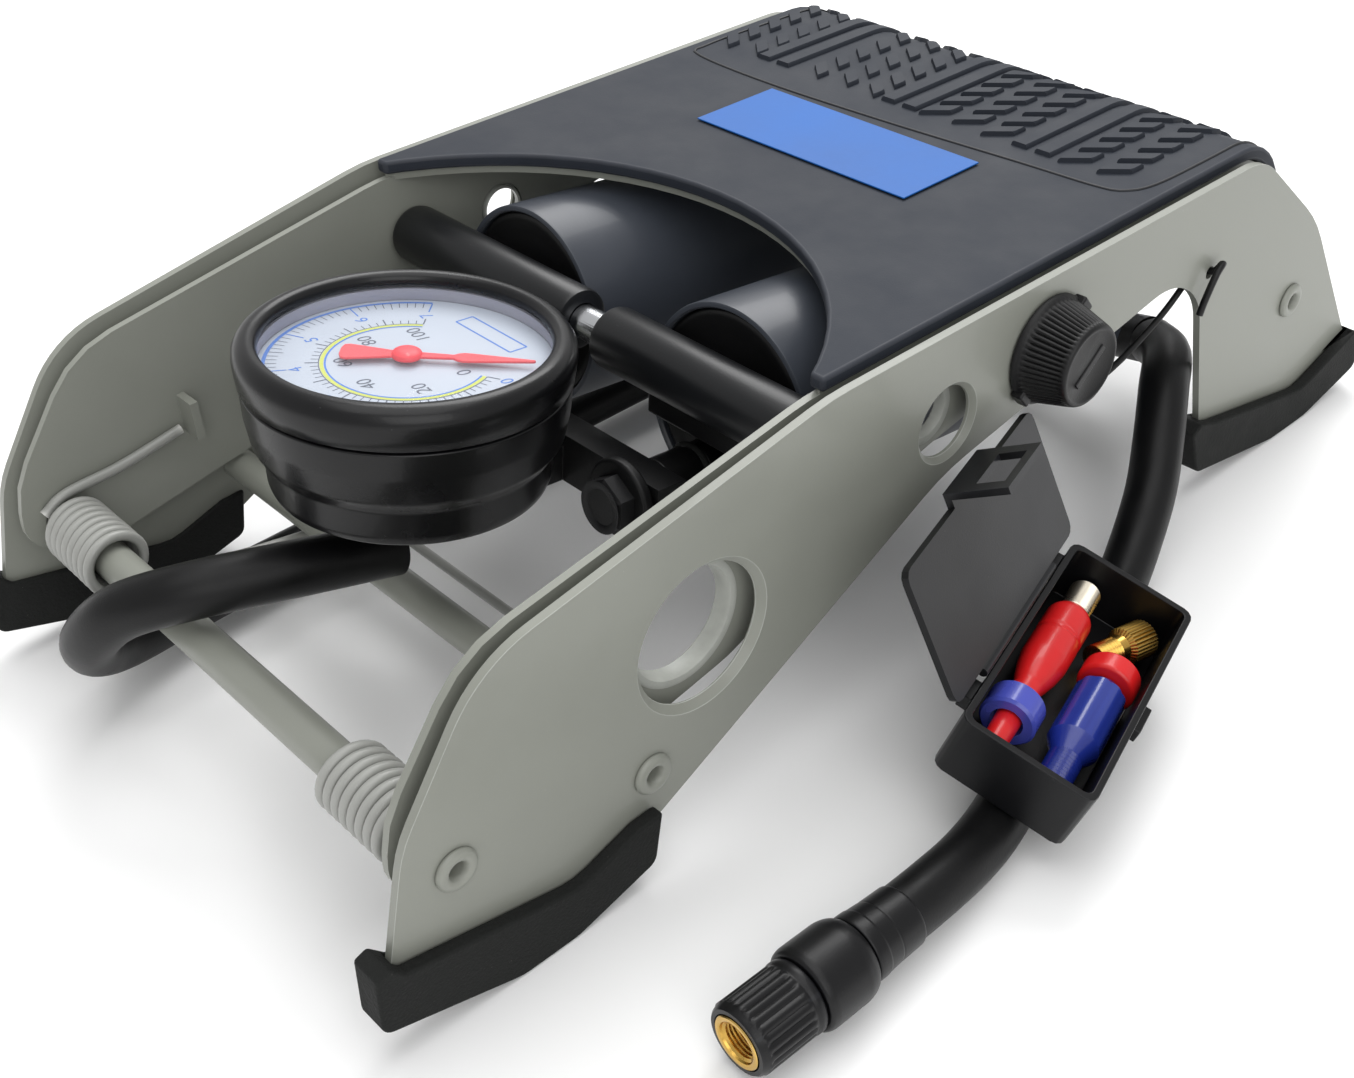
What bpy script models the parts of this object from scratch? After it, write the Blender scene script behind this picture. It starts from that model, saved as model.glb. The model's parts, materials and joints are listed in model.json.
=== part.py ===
"""Double-barrel foot air pump with a pressure gauge, a free hose and a clip-on adaptor box.

Lengths below are in millimetres and become metres when a mesh is made. X runs across the pump, Y from the
hinge end to the rear, Z up. The pump's own zero is the middle of its width, its front tip and the floor.
"""
import math

import bmesh
import bpy
from mathutils import Matrix, Vector

UNIT = 0.001

# ---- driving dimensions ----
WIDTH = 160.0                     # over the outer faces of the two side panels
LENGTH = 340.0                    # over the rubber feet
GAP = 0.3                         # left between touching pieces
SHEET = 2.0                       # side panel thickness
KNOB_LENGTH = 11.9
KNOB_RADIUS = 12.0

# ---- points in the side view, (y, z) ----
HINGE = (21.9, 34.7)              # front axle, on which the pedal frame turns
BRACE = (68.8, 26.0)
CROSS_AXLE = (126.7, 71.2)        # carries the barrels between the pedal frame's walls
REAR_AXLE = (296.5, 42.1)
LOCK = (187.1, 73.1)
BIG_HOLE = (83.9, 51.9)
SMALL_HOLE = (155.0, 68.1)
TIE_HOLE = (252.8, 66.5)

PANEL_OUT = WIDTH / 2
PANEL_IN = PANEL_OUT - SHEET
WALL_OUT = PANEL_IN - 4.0         # pedal frame's walls, nested inside the panels
WALL_SHEET = 1.8
WALL_IN = WALL_OUT - WALL_SHEET
AXLE_RADIUS = 4.4
RIVET_FLANGE = 4.6
RIVET_SHANK = 2.6

# ---- pedal ----
PLATE_TOP = 88.0
PLATE_SHEET = 1.7
PAD_HALF = 75.5
PAD_THICK = 3.4
PAD_FRONT = 121.0
PAD_CUT_RADIUS = 80.5
PAD_CUT_Y = 85.0
REAR_EDGE = 268.0
CURL_RADIUS = 16.0

# ---- barrels, in a frame at the cross axle whose Y runs along the barrels ----
BARREL_TILT = math.radians(-6.6)
BARREL_X = 35.0
BARREL_RADIUS = 25.0
BARREL_WALL = 1.6
BARREL_FRONT = 8.0
BARREL_LENGTH = 118.0
BARREL_DROP = -9.4                # barrel centreline below the cross axle
ROD_RADIUS = 4.0
EYE_INNER = 10.9
EYE_OUTER = 14.0
SLEEVE_RADIUS = 7.4
CROSS_RADIUS = 4.0
BAR_Z = -33.0                     # manifold bar's centre
BAR_FRONT = -17.0
BAR_DEPTH = 8.0
BAR_HEIGHT = 12.0
PORT_X = 31.0

# ---- gauge, standing on the manifold ----
GAUGE_RADIUS = 35.5
GAUGE_Y = -52.0
GAUGE_BASE_Z = -20.5
GAUGE_HEIGHT = 34.0
SPLIT = 24.5                      # heights above the gauge's base: parting line, dial and window
DIAL_Z = 26.8
LENS_Z = 30.4
NEEDLE_TURN = math.radians(46)

# ---- hose ----
HOSE_RADIUS = 6.2
HOSE_Z = HOSE_RADIUS + 0.1

# ---- accessory box, in its own frame ----
BOX_AT = (116.1, 151.5, 13.4)
BOX_TURN = math.radians(17.0)
BOX_ROLL = math.radians(20.0)     # it leans outward on the hose
BOX_WIDTH = 30.4
BOX_LENGTH = 66.0
BOX_HEIGHT = 16.0
BOX_WALL = 1.6
LID_OPEN = math.radians(134.0)

SIDE = {"near": 1, "far": -1}
LUG_TURN = math.radians(-51)      # of the lock knob's two lugs, from upright towards the rear
FINE_STEP = 6                     # degrees between the points of a large round stretch


# ---------------------------------------------------------------- helpers
def clear_scene():
    for item in list(bpy.data.objects):
        bpy.data.objects.remove(item, do_unlink=True)


def linear(channel):
    value = channel / 255
    return value / 12.92 if value <= 0.04045 else ((value + 0.055) / 1.055) ** 2.4


def material(name, rgb, roughness, metallic=0.0):
    made = bpy.data.materials.new(name)
    made.use_nodes = True
    shader = made.node_tree.nodes["Principled BSDF"]
    shader.inputs["Base Color"].default_value = (*[linear(c) for c in rgb], 1)
    shader.inputs["Roughness"].default_value = roughness
    shader.inputs["Metallic"].default_value = metallic
    return made


def empty(name, at=(0, 0, 0), parent=None, turn=(0, 0, 0)):
    made = bpy.data.objects.new(name, None)
    bpy.context.collection.objects.link(made)
    made.location = Vector(at) * UNIT
    made.rotation_euler = turn
    made.parent = parent
    return made


def finish(name, bm, mat, parent, at=(0, 0, 0), turn=(0, 0, 0), smooth=35, cutter=False):
    """Makes the bmesh, drawn in millimetres round its own origin, into an object at a place in its parent."""
    bmesh.ops.recalc_face_normals(bm, faces=bm.faces)
    if bm.calc_volume(signed=True) < 0:
        bmesh.ops.reverse_faces(bm, faces=bm.faces)
    bmesh.ops.scale(bm, vec=(UNIT, UNIT, UNIT), verts=bm.verts)
    mesh = bpy.data.meshes.new(name)
    bm.to_mesh(mesh)
    bm.free()
    made = bpy.data.objects.new(name, mesh)
    bpy.context.collection.objects.link(made)
    made.parent = parent
    made.location = Vector(at) * UNIT
    made.rotation_euler = turn
    if cutter:
        made.hide_render = True
        made.display_type = "WIRE"
    else:
        mesh.materials.append(mat)
        mesh.shade_smooth()
        mesh.set_sharp_from_angle(angle=math.radians(smooth))
    return made


def boolean(target, operand, operation="DIFFERENCE"):
    modifier = target.modifiers.new(operand.name, "BOOLEAN")
    modifier.object = operand
    modifier.operation = operation
    modifier.solver = "EXACT"


def rounded(corners, step=15):
    """An outline through (a, b, radius) corners, each radius turned as an arc with a point every step degrees."""
    points = []
    count = len(corners)
    for i, (a, b, radius) in enumerate(corners):
        here = Vector((a, b))
        if radius <= 0:
            points.append((a, b))
            continue
        before = (Vector(corners[i - 1][:2]) - here).normalized()
        after = (Vector(corners[(i + 1) % count][:2]) - here).normalized()
        half = before.angle(after) / 2
        reach = radius / math.tan(half)
        centre = here + (before + after).normalized() * (radius / math.sin(half))
        start = here + before * reach - centre
        end = here + after * reach - centre
        sweep = start.angle_signed(end)
        pieces = max(2, round(abs(math.degrees(sweep)) / step))
        for k in range(pieces + 1):
            turned = Matrix.Rotation(-sweep * k / pieces, 2) @ start
            points.append(tuple(centre + turned))
    return points


def grown(outline, by):
    """The outline moved outwards by a distance, corner by corner."""
    corners = [Vector(p) for p in outline]
    count = len(corners)
    area = sum(a.x * b.y - b.x * a.y for a, b in zip(corners, corners[1:] + corners[:1]))
    way = 1 if area > 0 else -1
    moved = []
    for i, corner in enumerate(corners):
        before = (corner - corners[i - 1]).normalized()
        after = (corners[(i + 1) % count] - corner).normalized()
        one = Vector((before.y, -before.x)) * way
        two = Vector((after.y, -after.x)) * way
        moved.append(tuple(corner + (one + two) * (by / (1 + one.dot(two)))))
    return moved


def prism(outline, low, high, axis="x"):
    """A flat outline pushed from low to high along an axis."""
    def place(a, b, c):
        return {"x": (c, a, b), "y": (a, c, b), "z": (a, b, c)}[axis]
    bm = bmesh.new()
    first = [bm.verts.new(place(a, b, low)) for a, b in outline]
    last = [bm.verts.new(place(a, b, high)) for a, b in outline]
    bm.faces.new(first)
    bm.faces.new(last)
    for i in range(len(outline)):
        k = (i + 1) % len(outline)
        bm.faces.new((first[i], first[k], last[k], last[i]))
    return bm


def block(low, high):
    return prism([(low[0], low[1]), (high[0], low[1]), (high[0], high[1]), (low[0], high[1])],
                 low[2], high[2], "z")


def lathe(profile, sides=32, axis="z", closed=False, centre=(0, 0, 0)):
    """Turns (radius, height) points round an axis. A closed profile is a ring; an open one starts and ends
    on the axis."""
    bm = bmesh.new()
    rings = []
    for radius, height in profile:
        count = 1 if radius == 0 else sides
        ring = []
        for k in range(count):
            angle = math.tau * k / sides
            a, b = radius * math.cos(angle), radius * math.sin(angle)
            spot = {"z": (a, b, height), "x": (height, a, b), "y": (b, height, a)}[axis]
            ring.append(bm.verts.new(Vector(spot) + Vector(centre)))
        rings.append(ring)
    pairs = list(zip(rings, rings[1:]))
    if closed:
        pairs.append((rings[-1], rings[0]))
    for one, two in pairs:
        for k in range(sides):
            n = (k + 1) % sides
            if len(one) == 1:
                bm.faces.new((one[0], two[k], two[n]))
            elif len(two) == 1:
                bm.faces.new((one[k], one[n], two[0]))
            else:
                bm.faces.new((one[k], one[n], two[n], two[k]))
    return bm


def rod(radius, low, high, chamfer=0.0):
    """The open profile of a plain pin."""
    if chamfer:
        return [(0, low), (radius - chamfer, low), (radius, low + chamfer), (radius, high - chamfer),
                (radius - chamfer, high), (0, high)]
    return [(0, low), (radius, low), (radius, high), (0, high)]


def tube(inner, outer, low, high):
    """The closed profile of a plain tube."""
    return [(inner, low), (outer, low), (outer, high), (inner, high)]


def wire(name, points, radius, mat, parent, at=(0, 0, 0), resolution=2):
    """A round wire or hose along points, as a curve with filled ends."""
    curve = bpy.data.curves.new(name, "CURVE")
    curve.dimensions = "3D"
    curve.bevel_depth = radius * UNIT
    curve.bevel_resolution = resolution
    curve.use_fill_caps = True
    spline = curve.splines.new("POLY")
    spline.points.add(len(points) - 1)
    for spot, point in zip(spline.points, points):
        spot.co = (*(Vector(point) * UNIT), 1)
    made = bpy.data.objects.new(name, curve)
    bpy.context.collection.objects.link(made)
    curve.materials.append(mat)
    made.parent = parent
    made.location = Vector(at) * UNIT
    return made


def smooth_route(marks, spacing):
    """Points along a Catmull-Rom curve through the marks, about one every spacing."""
    marks = [Vector(m) for m in marks]
    ends = [marks[0] * 2 - marks[1]] + marks + [marks[-1] * 2 - marks[-2]]
    fine = []
    for a, b, c, d in zip(ends, ends[1:], ends[2:], ends[3:]):
        for k in range(24):
            t = k / 24
            fine.append(0.5 * (2 * b + (c - a) * t + (2 * a - 5 * b + 4 * c - d) * t * t
                               + (3 * b - a - 3 * c + d) * t ** 3))
    fine.append(marks[-1])
    lengths = [0.0]
    for a, b in zip(fine, fine[1:]):
        lengths.append(lengths[-1] + (b - a).length)
    count = max(2, round(lengths[-1] / spacing))
    route = []
    j = 0
    for k in range(count + 1):
        want = lengths[-1] * k / count
        while j < len(fine) - 2 and lengths[j + 1] < want:
            j += 1
        span = lengths[j + 1] - lengths[j]
        route.append(tuple(fine[j].lerp(fine[j + 1], (want - lengths[j]) / span)))
    return route


# ---------------------------------------------------------------- materials
clear_scene()
STEEL_PAINT = material("grey_paint", (158, 158, 150), 0.42)
SPRING_PAINT = material("spring_grey", (160, 162, 158), 0.45)
RUBBER = material("black_rubber", (30, 31, 30), 0.8)
PAD_RUBBER = material("charcoal_rubber", (66, 68, 74), 0.75)
PLASTIC = material("black_plastic", (30, 30, 32), 0.5)
GLOSS_PLASTIC = material("gauge_plastic", (26, 26, 28), 0.32)
BARREL_PAINT = material("dark_grey_paint", (72, 74, 79), 0.38)
BRIGHT = material("bright_steel", (200, 202, 205), 0.25, 1.0)
BRASS = material("brass", (196, 160, 84), 0.3, 1.0)
LABEL = material("blue_label", (72, 122, 196), 0.35)
DIAL = material("dial_white", (228, 232, 240), 0.5)
LENS = material("clear_lens", (225, 232, 238), 0.1)
NEEDLE = material("needle_red", (214, 40, 52), 0.45)
RED = material("red_plastic", (196, 34, 36), 0.4)
BLUE = material("blue_plastic", (38, 64, 160), 0.4)
HOSE = material("black_hose", (24, 24, 26), 0.5)

# The whole pump stands with the middle of its box over the origin.
KNOB_TIP = PANEL_OUT + GAP + KNOB_LENGTH
FOOT_HALF = PANEL_OUT + 3.6
PUMP = empty("pump_origin", (-(KNOB_TIP - FOOT_HALF) / 2, -LENGTH / 2, 0))


# ---------------------------------------------------------------- base: panels, feet, axles
PANEL_OUTLINE = rounded([
    (4.5, 16.5, 0), (12.0, 46, 26), (32.5, 75.2, 28), (119, 90, 60), (270, 90.2, 20), (303, 63, 60),
    (336.5, 13.5, 0), (308, 4.9, 20), (262, 14.5, 0), (247.5, 71.6, 20), (155, 55.5, 50), (68, 12.4, 4),
    (46, 7.2, 15),
], FINE_STEP)


def hole_cutter(name, spot, radius, parent, low, high, lip=0.0):
    """A round cutter along X, wider at its outer face by a countersunk lip."""
    outer = high if abs(high) > abs(low) else low
    inner = low if outer == high else high
    way = 1 if outer > inner else -1
    profile = [(0, inner), (radius, inner), (radius, outer - way * (1 + lip)), (radius + lip, outer - way),
               (radius + lip, outer), (0, outer)]
    sides = 48 if radius > 6 else 24
    return finish(name, lathe(profile, sides, "x"), None, parent, (0, *spot), cutter=True)


def side_panel(label, side):
    low, high = sorted((side * PANEL_IN, side * PANEL_OUT))
    panel = finish(f"side_panel_{label}", prism(PANEL_OUTLINE, low, high), STEEL_PAINT, PUMP)
    holes = [("big", BIG_HOLE, 15.6, 1.6), ("small", SMALL_HOLE, 8.2, 1.2)]
    holes += [(f"rivet{i}", spot, RIVET_SHANK + GAP, 0) for i, spot in enumerate((HINGE, BRACE, REAR_AXLE))]
    if label == "near":
        holes += [("lock", LOCK, 3.4, 0), ("tie", TIE_HOLE, 1.6, 0)]
    for name, spot, radius, lip in holes:
        cutter = hole_cutter(f"cut_{label}_{name}", spot, radius, PUMP, side * (PANEL_IN - 1),
                             side * (PANEL_OUT + 1), lip)
        boolean(panel, cutter)


FRONT_FOOT = [(0.6, 24.5, 0), (0, 10, 3), (31, 0, 12), (45, 0, 12), (66, 5.4, 3), (68.4, 17.8, 0),
              (62, 17.4, 0), (47, 12.6, 12), (7, 21.5, 0), (3.6, 25.5, 0)]
REAR_FOOT = [(252.6, 21, 0), (257.6, 7.2, 4), (296, 0, 14), (313, 0, 14), (338, 5.6, 3), (340, 14.6, 0),
             (334, 19, 0), (308, 10.8, 14), (263, 20.5, 0), (256, 23, 0)]


def foot(name, corners, side):
    """A rubber shoe with a slot that the panel's lower edge sits in."""
    low, high = sorted((side * (PANEL_IN - 1.8), side * FOOT_HALF))
    shoe = finish(name, prism(rounded(corners), low, high), RUBBER, PUMP)
    slot_low, slot_high = sorted((side * (PANEL_IN - GAP), side * (PANEL_OUT + GAP)))
    slot = finish(f"cut_{name}", prism(grown(PANEL_OUTLINE, GAP), slot_low, slot_high), None, PUMP, cutter=True)
    boolean(shoe, slot)


def base():
    for label, side in SIDE.items():
        side_panel(label, side)
        foot(f"front_foot_{label}", FRONT_FOOT, side)
        foot(f"rear_foot_{label}", REAR_FOOT, side)
    reach = PANEL_IN - GAP
    finish("hinge_axle", lathe(tube(RIVET_SHANK + GAP, AXLE_RADIUS, -reach, reach), 24, "x", True),
           STEEL_PAINT, PUMP, (0, *HINGE))
    finish("rear_axle", lathe(tube(RIVET_SHANK + GAP, CROSS_RADIUS, -reach, reach), 24, "x", True),
           BRIGHT, PUMP, (0, *REAR_AXLE))
    finish("front_brace", lathe(tube(RIVET_SHANK + GAP, 4.0, -reach, reach), 24, "x", True),
           STEEL_PAINT, PUMP, (0, *BRACE))
    for name, spot in (("hinge", HINGE), ("brace", BRACE), ("rear", REAR_AXLE)):
        for label, side in SIDE.items():
            rivet(f"rivet_{name}_{label}", spot, side)


def rivet(name, spot, side):
    """A hollow rivet: a shank through the panel into its axle, and a rolled flange outside."""
    face = PANEL_OUT + GAP
    depth = PANEL_IN - 6
    profile = [(0, depth), (RIVET_SHANK, depth), (RIVET_SHANK, face), (RIVET_FLANGE, face),
               (RIVET_FLANGE - 0.3, face + 0.9), (2.3, face + 1.1), (1.8, face), (1.8, PANEL_IN - 3),
               (0, PANEL_IN - 3)]
    turned = [(radius, side * height) for radius, height in profile]
    finish(name, lathe(turned, 12, "x"), STEEL_PAINT, PUMP, (0, *spot))


# ---------------------------------------------------------------- return spring
SPRING_WIRE = 1.25
SPRING_MEAN = 6.9
SPRING_INNER_X = 46.4
SPRING_TURNS = 8
SPRING_PITCH = 2.65
BRIDGE_Y = BRACE[0] + 15.0
BRIDGE_Z = BRACE[1] + 1.0
LEG_TIP = (53.5, 46.0)


def spring():
    """One wire wound as two coils round the hinge axle, joined by a bridge that bears on the base."""
    start = math.radians(-90)
    coil = []
    for k in range(SPRING_TURNS * 10 + 1):
        angle = start - math.tau * k / 10
        x = SPRING_INNER_X + SPRING_PITCH * k / 10
        coil.append((x, HINGE[0] + SPRING_MEAN * math.cos(angle), HINGE[1] + SPRING_MEAN * math.sin(angle)))
    drop = HINGE[1] - SPRING_MEAN
    leg = [(SPRING_INNER_X - 0.4, HINGE[0] + 6, drop - 0.2), (SPRING_INNER_X - 1.2, HINGE[0] + 25, 24.0),
           (SPRING_INNER_X - 1.6, BRACE[0], 20.2), (SPRING_INNER_X - 1.6, BRIDGE_Y - 3, 20.4),
           (SPRING_INNER_X - 3.6, BRIDGE_Y, 20.6)]
    near = list(reversed(coil)) + leg
    far = [(-x, y, z) for x, y, z in near]
    points = near + list(reversed(far))
    wire("return_spring", points, SPRING_WIRE, SPRING_PAINT, PUMP)
    for label, side in SIDE.items():
        x = WALL_IN - SPRING_WIRE - 0.5
        top = HINGE[1] + SPRING_MEAN
        marks = [(side * x, HINGE[0] - 5.2, top - 2.4), (side * x, HINGE[0] + 1, top + 0.6),
                 (side * x, 37, 43.2), (side * x, *LEG_TIP)]
        wire(f"spring_leg_{label}", smooth_route(marks, 3.0), SPRING_WIRE, SPRING_PAINT, PEDAL,
             (0, -HINGE[0], -HINGE[1]))


# ---------------------------------------------------------------- pedal frame
PEDAL = empty("pedal_pivot", (0, *HINGE), PUMP)
PEDAL_SHIFT = (0, -HINGE[0], -HINGE[1])
WALL_OUTLINE = rounded([
    (11.5, 33, 8), (13, 47, 24), (33.5, 74, 26), (119, 87.4, 60), (REAR_EDGE, 87.4, 18), (283, 74, 6),
    (280, 67, 6), (246, 75.5, 20), (152, 58.4, 45), (96, 36.3, 26), (38, 25.8, 8), (24, 22.5, 8),
])


def sheet_profile(top, thick, front, drop):
    """Side view of a flat sheet that curls down over the pedal's rear edge."""
    bend = REAR_EDGE
    outer = CURL_RADIUS + (top - PLATE_TOP)
    points = [(front, top - thick), (front, top)]
    for k in range(7):
        angle = math.radians(90 - 10 * k)
        points.append((bend + outer * math.cos(angle), top - outer + outer * math.sin(angle)))
    last = points[-1]
    along = Vector((0.5, -math.sqrt(0.75))) * drop
    points.append((last[0] + along[0], last[1] + along[1]))
    inner = outer - thick
    back = (bend + inner * math.cos(math.radians(30)), top - outer + inner * math.sin(math.radians(30)))
    points.append((back[0] + along[0], back[1] + along[1]))
    for k in range(7):
        angle = math.radians(30 + 10 * k)
        points.append((bend + inner * math.cos(angle), top - outer + inner * math.sin(angle)))
    return points


def cutout(name, radius, centre_y):
    return finish(name, lathe(rod(radius, 60, 120), 72), None, PEDAL, (0, centre_y - HINGE[0], -HINGE[1]),
                  cutter=True)


def pedal():
    frame = finish("pedal_frame", prism(sheet_profile(PLATE_TOP, PLATE_SHEET, PAD_FRONT + 1, 3), -WALL_OUT + 0.2,
                                        WALL_OUT - 0.2), STEEL_PAINT, PEDAL, PEDAL_SHIFT)
    boolean(frame, cutout("cut_plate_front", PAD_CUT_RADIUS + 1.5, PAD_CUT_Y))
    for label, side in SIDE.items():
        low, high = sorted((side * WALL_IN, side * WALL_OUT))
        wall = finish(f"join_wall_{label}", prism(WALL_OUTLINE, low, high), None, PEDAL, PEDAL_SHIFT, cutter=True)
        boolean(frame, wall, "UNION")
        lug_low, lug_high = sorted((side * (WALL_IN - 6.5), side * (WALL_IN + 0.5)))
        lug = finish(f"join_lug_{label}", block((lug_low, LEG_TIP[0] + 1.6, 44.2), (lug_high, LEG_TIP[0] + 3.6, 54)),
                     None, PEDAL, PEDAL_SHIFT, cutter=True)
        boolean(frame, lug, "UNION")
        for name, spot, radius in (("big", BIG_HOLE, 13.6), ("small", SMALL_HOLE, 6.6), ("hinge", HINGE, 5.0),
                                   ("axle", CROSS_AXLE, CROSS_RADIUS + GAP)):
            cutter = hole_cutter(f"cut_wall_{label}_{name}", (spot[0] - HINGE[0], spot[1] - HINGE[1]), radius,
                                 PEDAL, side * (WALL_IN - 1), side * (WALL_OUT + 1))
            boolean(frame, cutter)
    # keyhole that the lock's key passes: a round pocket and a neck down to the wall's lower edge
    reach = Vector((LOCK[0] - HINGE[0], LOCK[1] - HINGE[1]))
    pocket = lathe(rod(5.0, WALL_IN - 1, WALL_OUT + 1), 24, "x")
    boolean(frame, finish("cut_keyhole", pocket, None, PEDAL, (0, *reach), cutter=True))
    neck = block((WALL_IN - 1, -3.4, -26), (WALL_OUT + 1, 3.4, 0))
    turn = math.atan2(reach[1], reach[0])
    boolean(frame, finish("cut_neck", neck, None, PEDAL, (0, *reach), (turn, 0, 0), cutter=True))

    top = PLATE_TOP + GAP + PAD_THICK
    pad = finish("pedal_pad", prism(sheet_profile(top, PAD_THICK, PAD_FRONT, 6), -PAD_HALF, PAD_HALF),
                 PAD_RUBBER, PEDAL, PEDAL_SHIFT)
    boolean(pad, cutout("cut_pad_front", PAD_CUT_RADIUS, PAD_CUT_Y))
    finish("pad_label", block((-34.5, 191.5, top + GAP), (34.5, 218.5, top + GAP + 0.4)), LABEL, PEDAL,
           PEDAL_SHIFT)
    ends = WALL_OUT + 1.4
    finish("cross_axle", lathe(rod(CROSS_RADIUS, -ends, ends, 0.6), 24, "x"), BRIGHT, PEDAL,
           (0, CROSS_AXLE[0] - HINGE[0], CROSS_AXLE[1] - HINGE[1]))


# ---------------------------------------------------------------- barrels, manifold and gauge
BARRELS = empty("barrel_pivot", (0, CROSS_AXLE[0] - HINGE[0], CROSS_AXLE[1] - HINGE[1]), PEDAL,
                (BARREL_TILT, 0, 0))
BARREL_REAR = BARREL_FRONT + BARREL_LENGTH


def front_cap(label, side):
    """The barrel's black front cap: a disc, a hinge sleeve on the cross axle and a web between them."""
    x = side * BARREL_X
    inner = BARREL_RADIUS - BARREL_WALL - GAP
    disc = lathe(rod(inner, BARREL_FRONT + 0.8, BARREL_FRONT + 9.0), 32, "y", centre=(x, 0, BARREL_DROP))
    cap = finish(f"barrel_cap_{label}", disc, PLASTIC, BARRELS)
    ends = sorted((side * 5.2, side * (WALL_IN - 1.0)))
    sleeve = lathe(rod(SLEEVE_RADIUS, *ends, 0.8), 24, "x")
    boolean(cap, finish(f"join_sleeve_{label}", sleeve, None, BARRELS, cutter=True), "UNION")
    web_ends = sorted((side * 20, side * 50))
    web = block((web_ends[0], -2.0, -12.5), (web_ends[1], BARREL_FRONT + 3, -5.0))
    boolean(cap, finish(f"join_web_{label}", web, None, BARRELS, cutter=True), "UNION")
    port = lathe(rod(6.0, BAR_FRONT + BAR_DEPTH + GAP, BARREL_FRONT + 3), 16, "y",
                 centre=(side * PORT_X, 0, BAR_Z + 9))
    boolean(cap, finish(f"join_port_{label}", port, None, BARRELS, cutter=True), "UNION")
    bore = lathe(rod(CROSS_RADIUS + GAP, -WALL_OUT, WALL_OUT), 16, "x")
    boolean(cap, finish(f"cut_bore_{label}", bore, None, BARRELS, cutter=True))


def barrel(label, side):
    x = side * BARREL_X
    finish(f"barrel_{label}", lathe(tube(BARREL_RADIUS - BARREL_WALL, BARREL_RADIUS, BARREL_FRONT, BARREL_REAR),
                                    40, "y", True, (x, 0, BARREL_DROP)), BARREL_PAINT, BARRELS)
    front_cap(label, side)
    inner = BARREL_RADIUS - BARREL_WALL - GAP
    finish(f"rod_guide_{label}", lathe(tube(ROD_RADIUS + GAP, inner, BARREL_REAR - 8, BARREL_REAR - 0.5), 32, "y",
                                       True, (x, 0, BARREL_DROP)), PLASTIC, BARRELS)


def piston(label, side):
    """Piston, rubber cup and rod with its rear eye; the eye is a wide loop round the rear axle."""
    x = side * BARREL_X
    piston_front = BARREL_FRONT + 12.0
    head = finish(f"piston_{label}", lathe([(0, piston_front + 4.3), (21.0, piston_front + 4.3),
                                            (21.0, piston_front + 11), (ROD_RADIUS, piston_front + 11),
                                            (ROD_RADIUS, ROD_END), (0, ROD_END)], 32, "y",
                                           centre=(x, 0, BARREL_DROP)), BRIGHT, RODS)
    eye = lathe(tube(EYE_INNER, EYE_OUTER, -6, 6), 24, "x", True, (x, *EYE_AT))
    boolean(head, finish(f"join_eye_{label}", eye, None, RODS, cutter=True), "UNION")
    finish(f"piston_cup_{label}", lathe(rod(BARREL_RADIUS - BARREL_WALL - GAP, piston_front, piston_front + 4, 0.8),
                                        32, "y", centre=(x, 0, BARREL_DROP)), RUBBER, RODS)


def manifold():
    bar = block((-41, BAR_FRONT, BAR_Z + 3), (41, BAR_FRONT + BAR_DEPTH, BAR_Z + 3 + BAR_HEIGHT))
    body = finish("manifold_bar", bar, PLASTIC, BARRELS)
    arm = block((-9, GAUGE_Y - 6, BAR_Z + 3), (9, BAR_FRONT + 1, BAR_Z + 12))
    boolean(body, finish("join_arm", arm, None, BARRELS, cutter=True), "UNION")
    stem = lathe(rod(7.5, BAR_Z + 5, GAUGE_BASE_Z - GAP), 24, "z", centre=(0, GAUGE_Y, 0))
    boolean(body, finish("join_stem", stem, None, BARRELS, cutter=True), "UNION")
    edge = body.modifiers.new("edge", "BEVEL")
    edge.width = 0.6 * UNIT
    edge.segments = 1
    edge.limit_method = "ANGLE"
    edge.angle_limit = math.radians(60)
    for label, side in SIDE.items():
        x = side * PORT_X
        head = lathe(rod(6.6, BAR_FRONT - 7.5, BAR_FRONT - 2.6, 0.4), 6, "y", centre=(x, 0, BAR_Z + 9))
        flange = lathe(rod(9.6, BAR_FRONT - 2.9, BAR_FRONT - GAP), 24, "y", centre=(x, 0, BAR_Z + 9))
        bolt = finish(f"banjo_bolt_{label}", head, PLASTIC, BARRELS)
        boolean(bolt, finish(f"join_flange_{label}", flange, None, BARRELS, cutter=True), "UNION")


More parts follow.
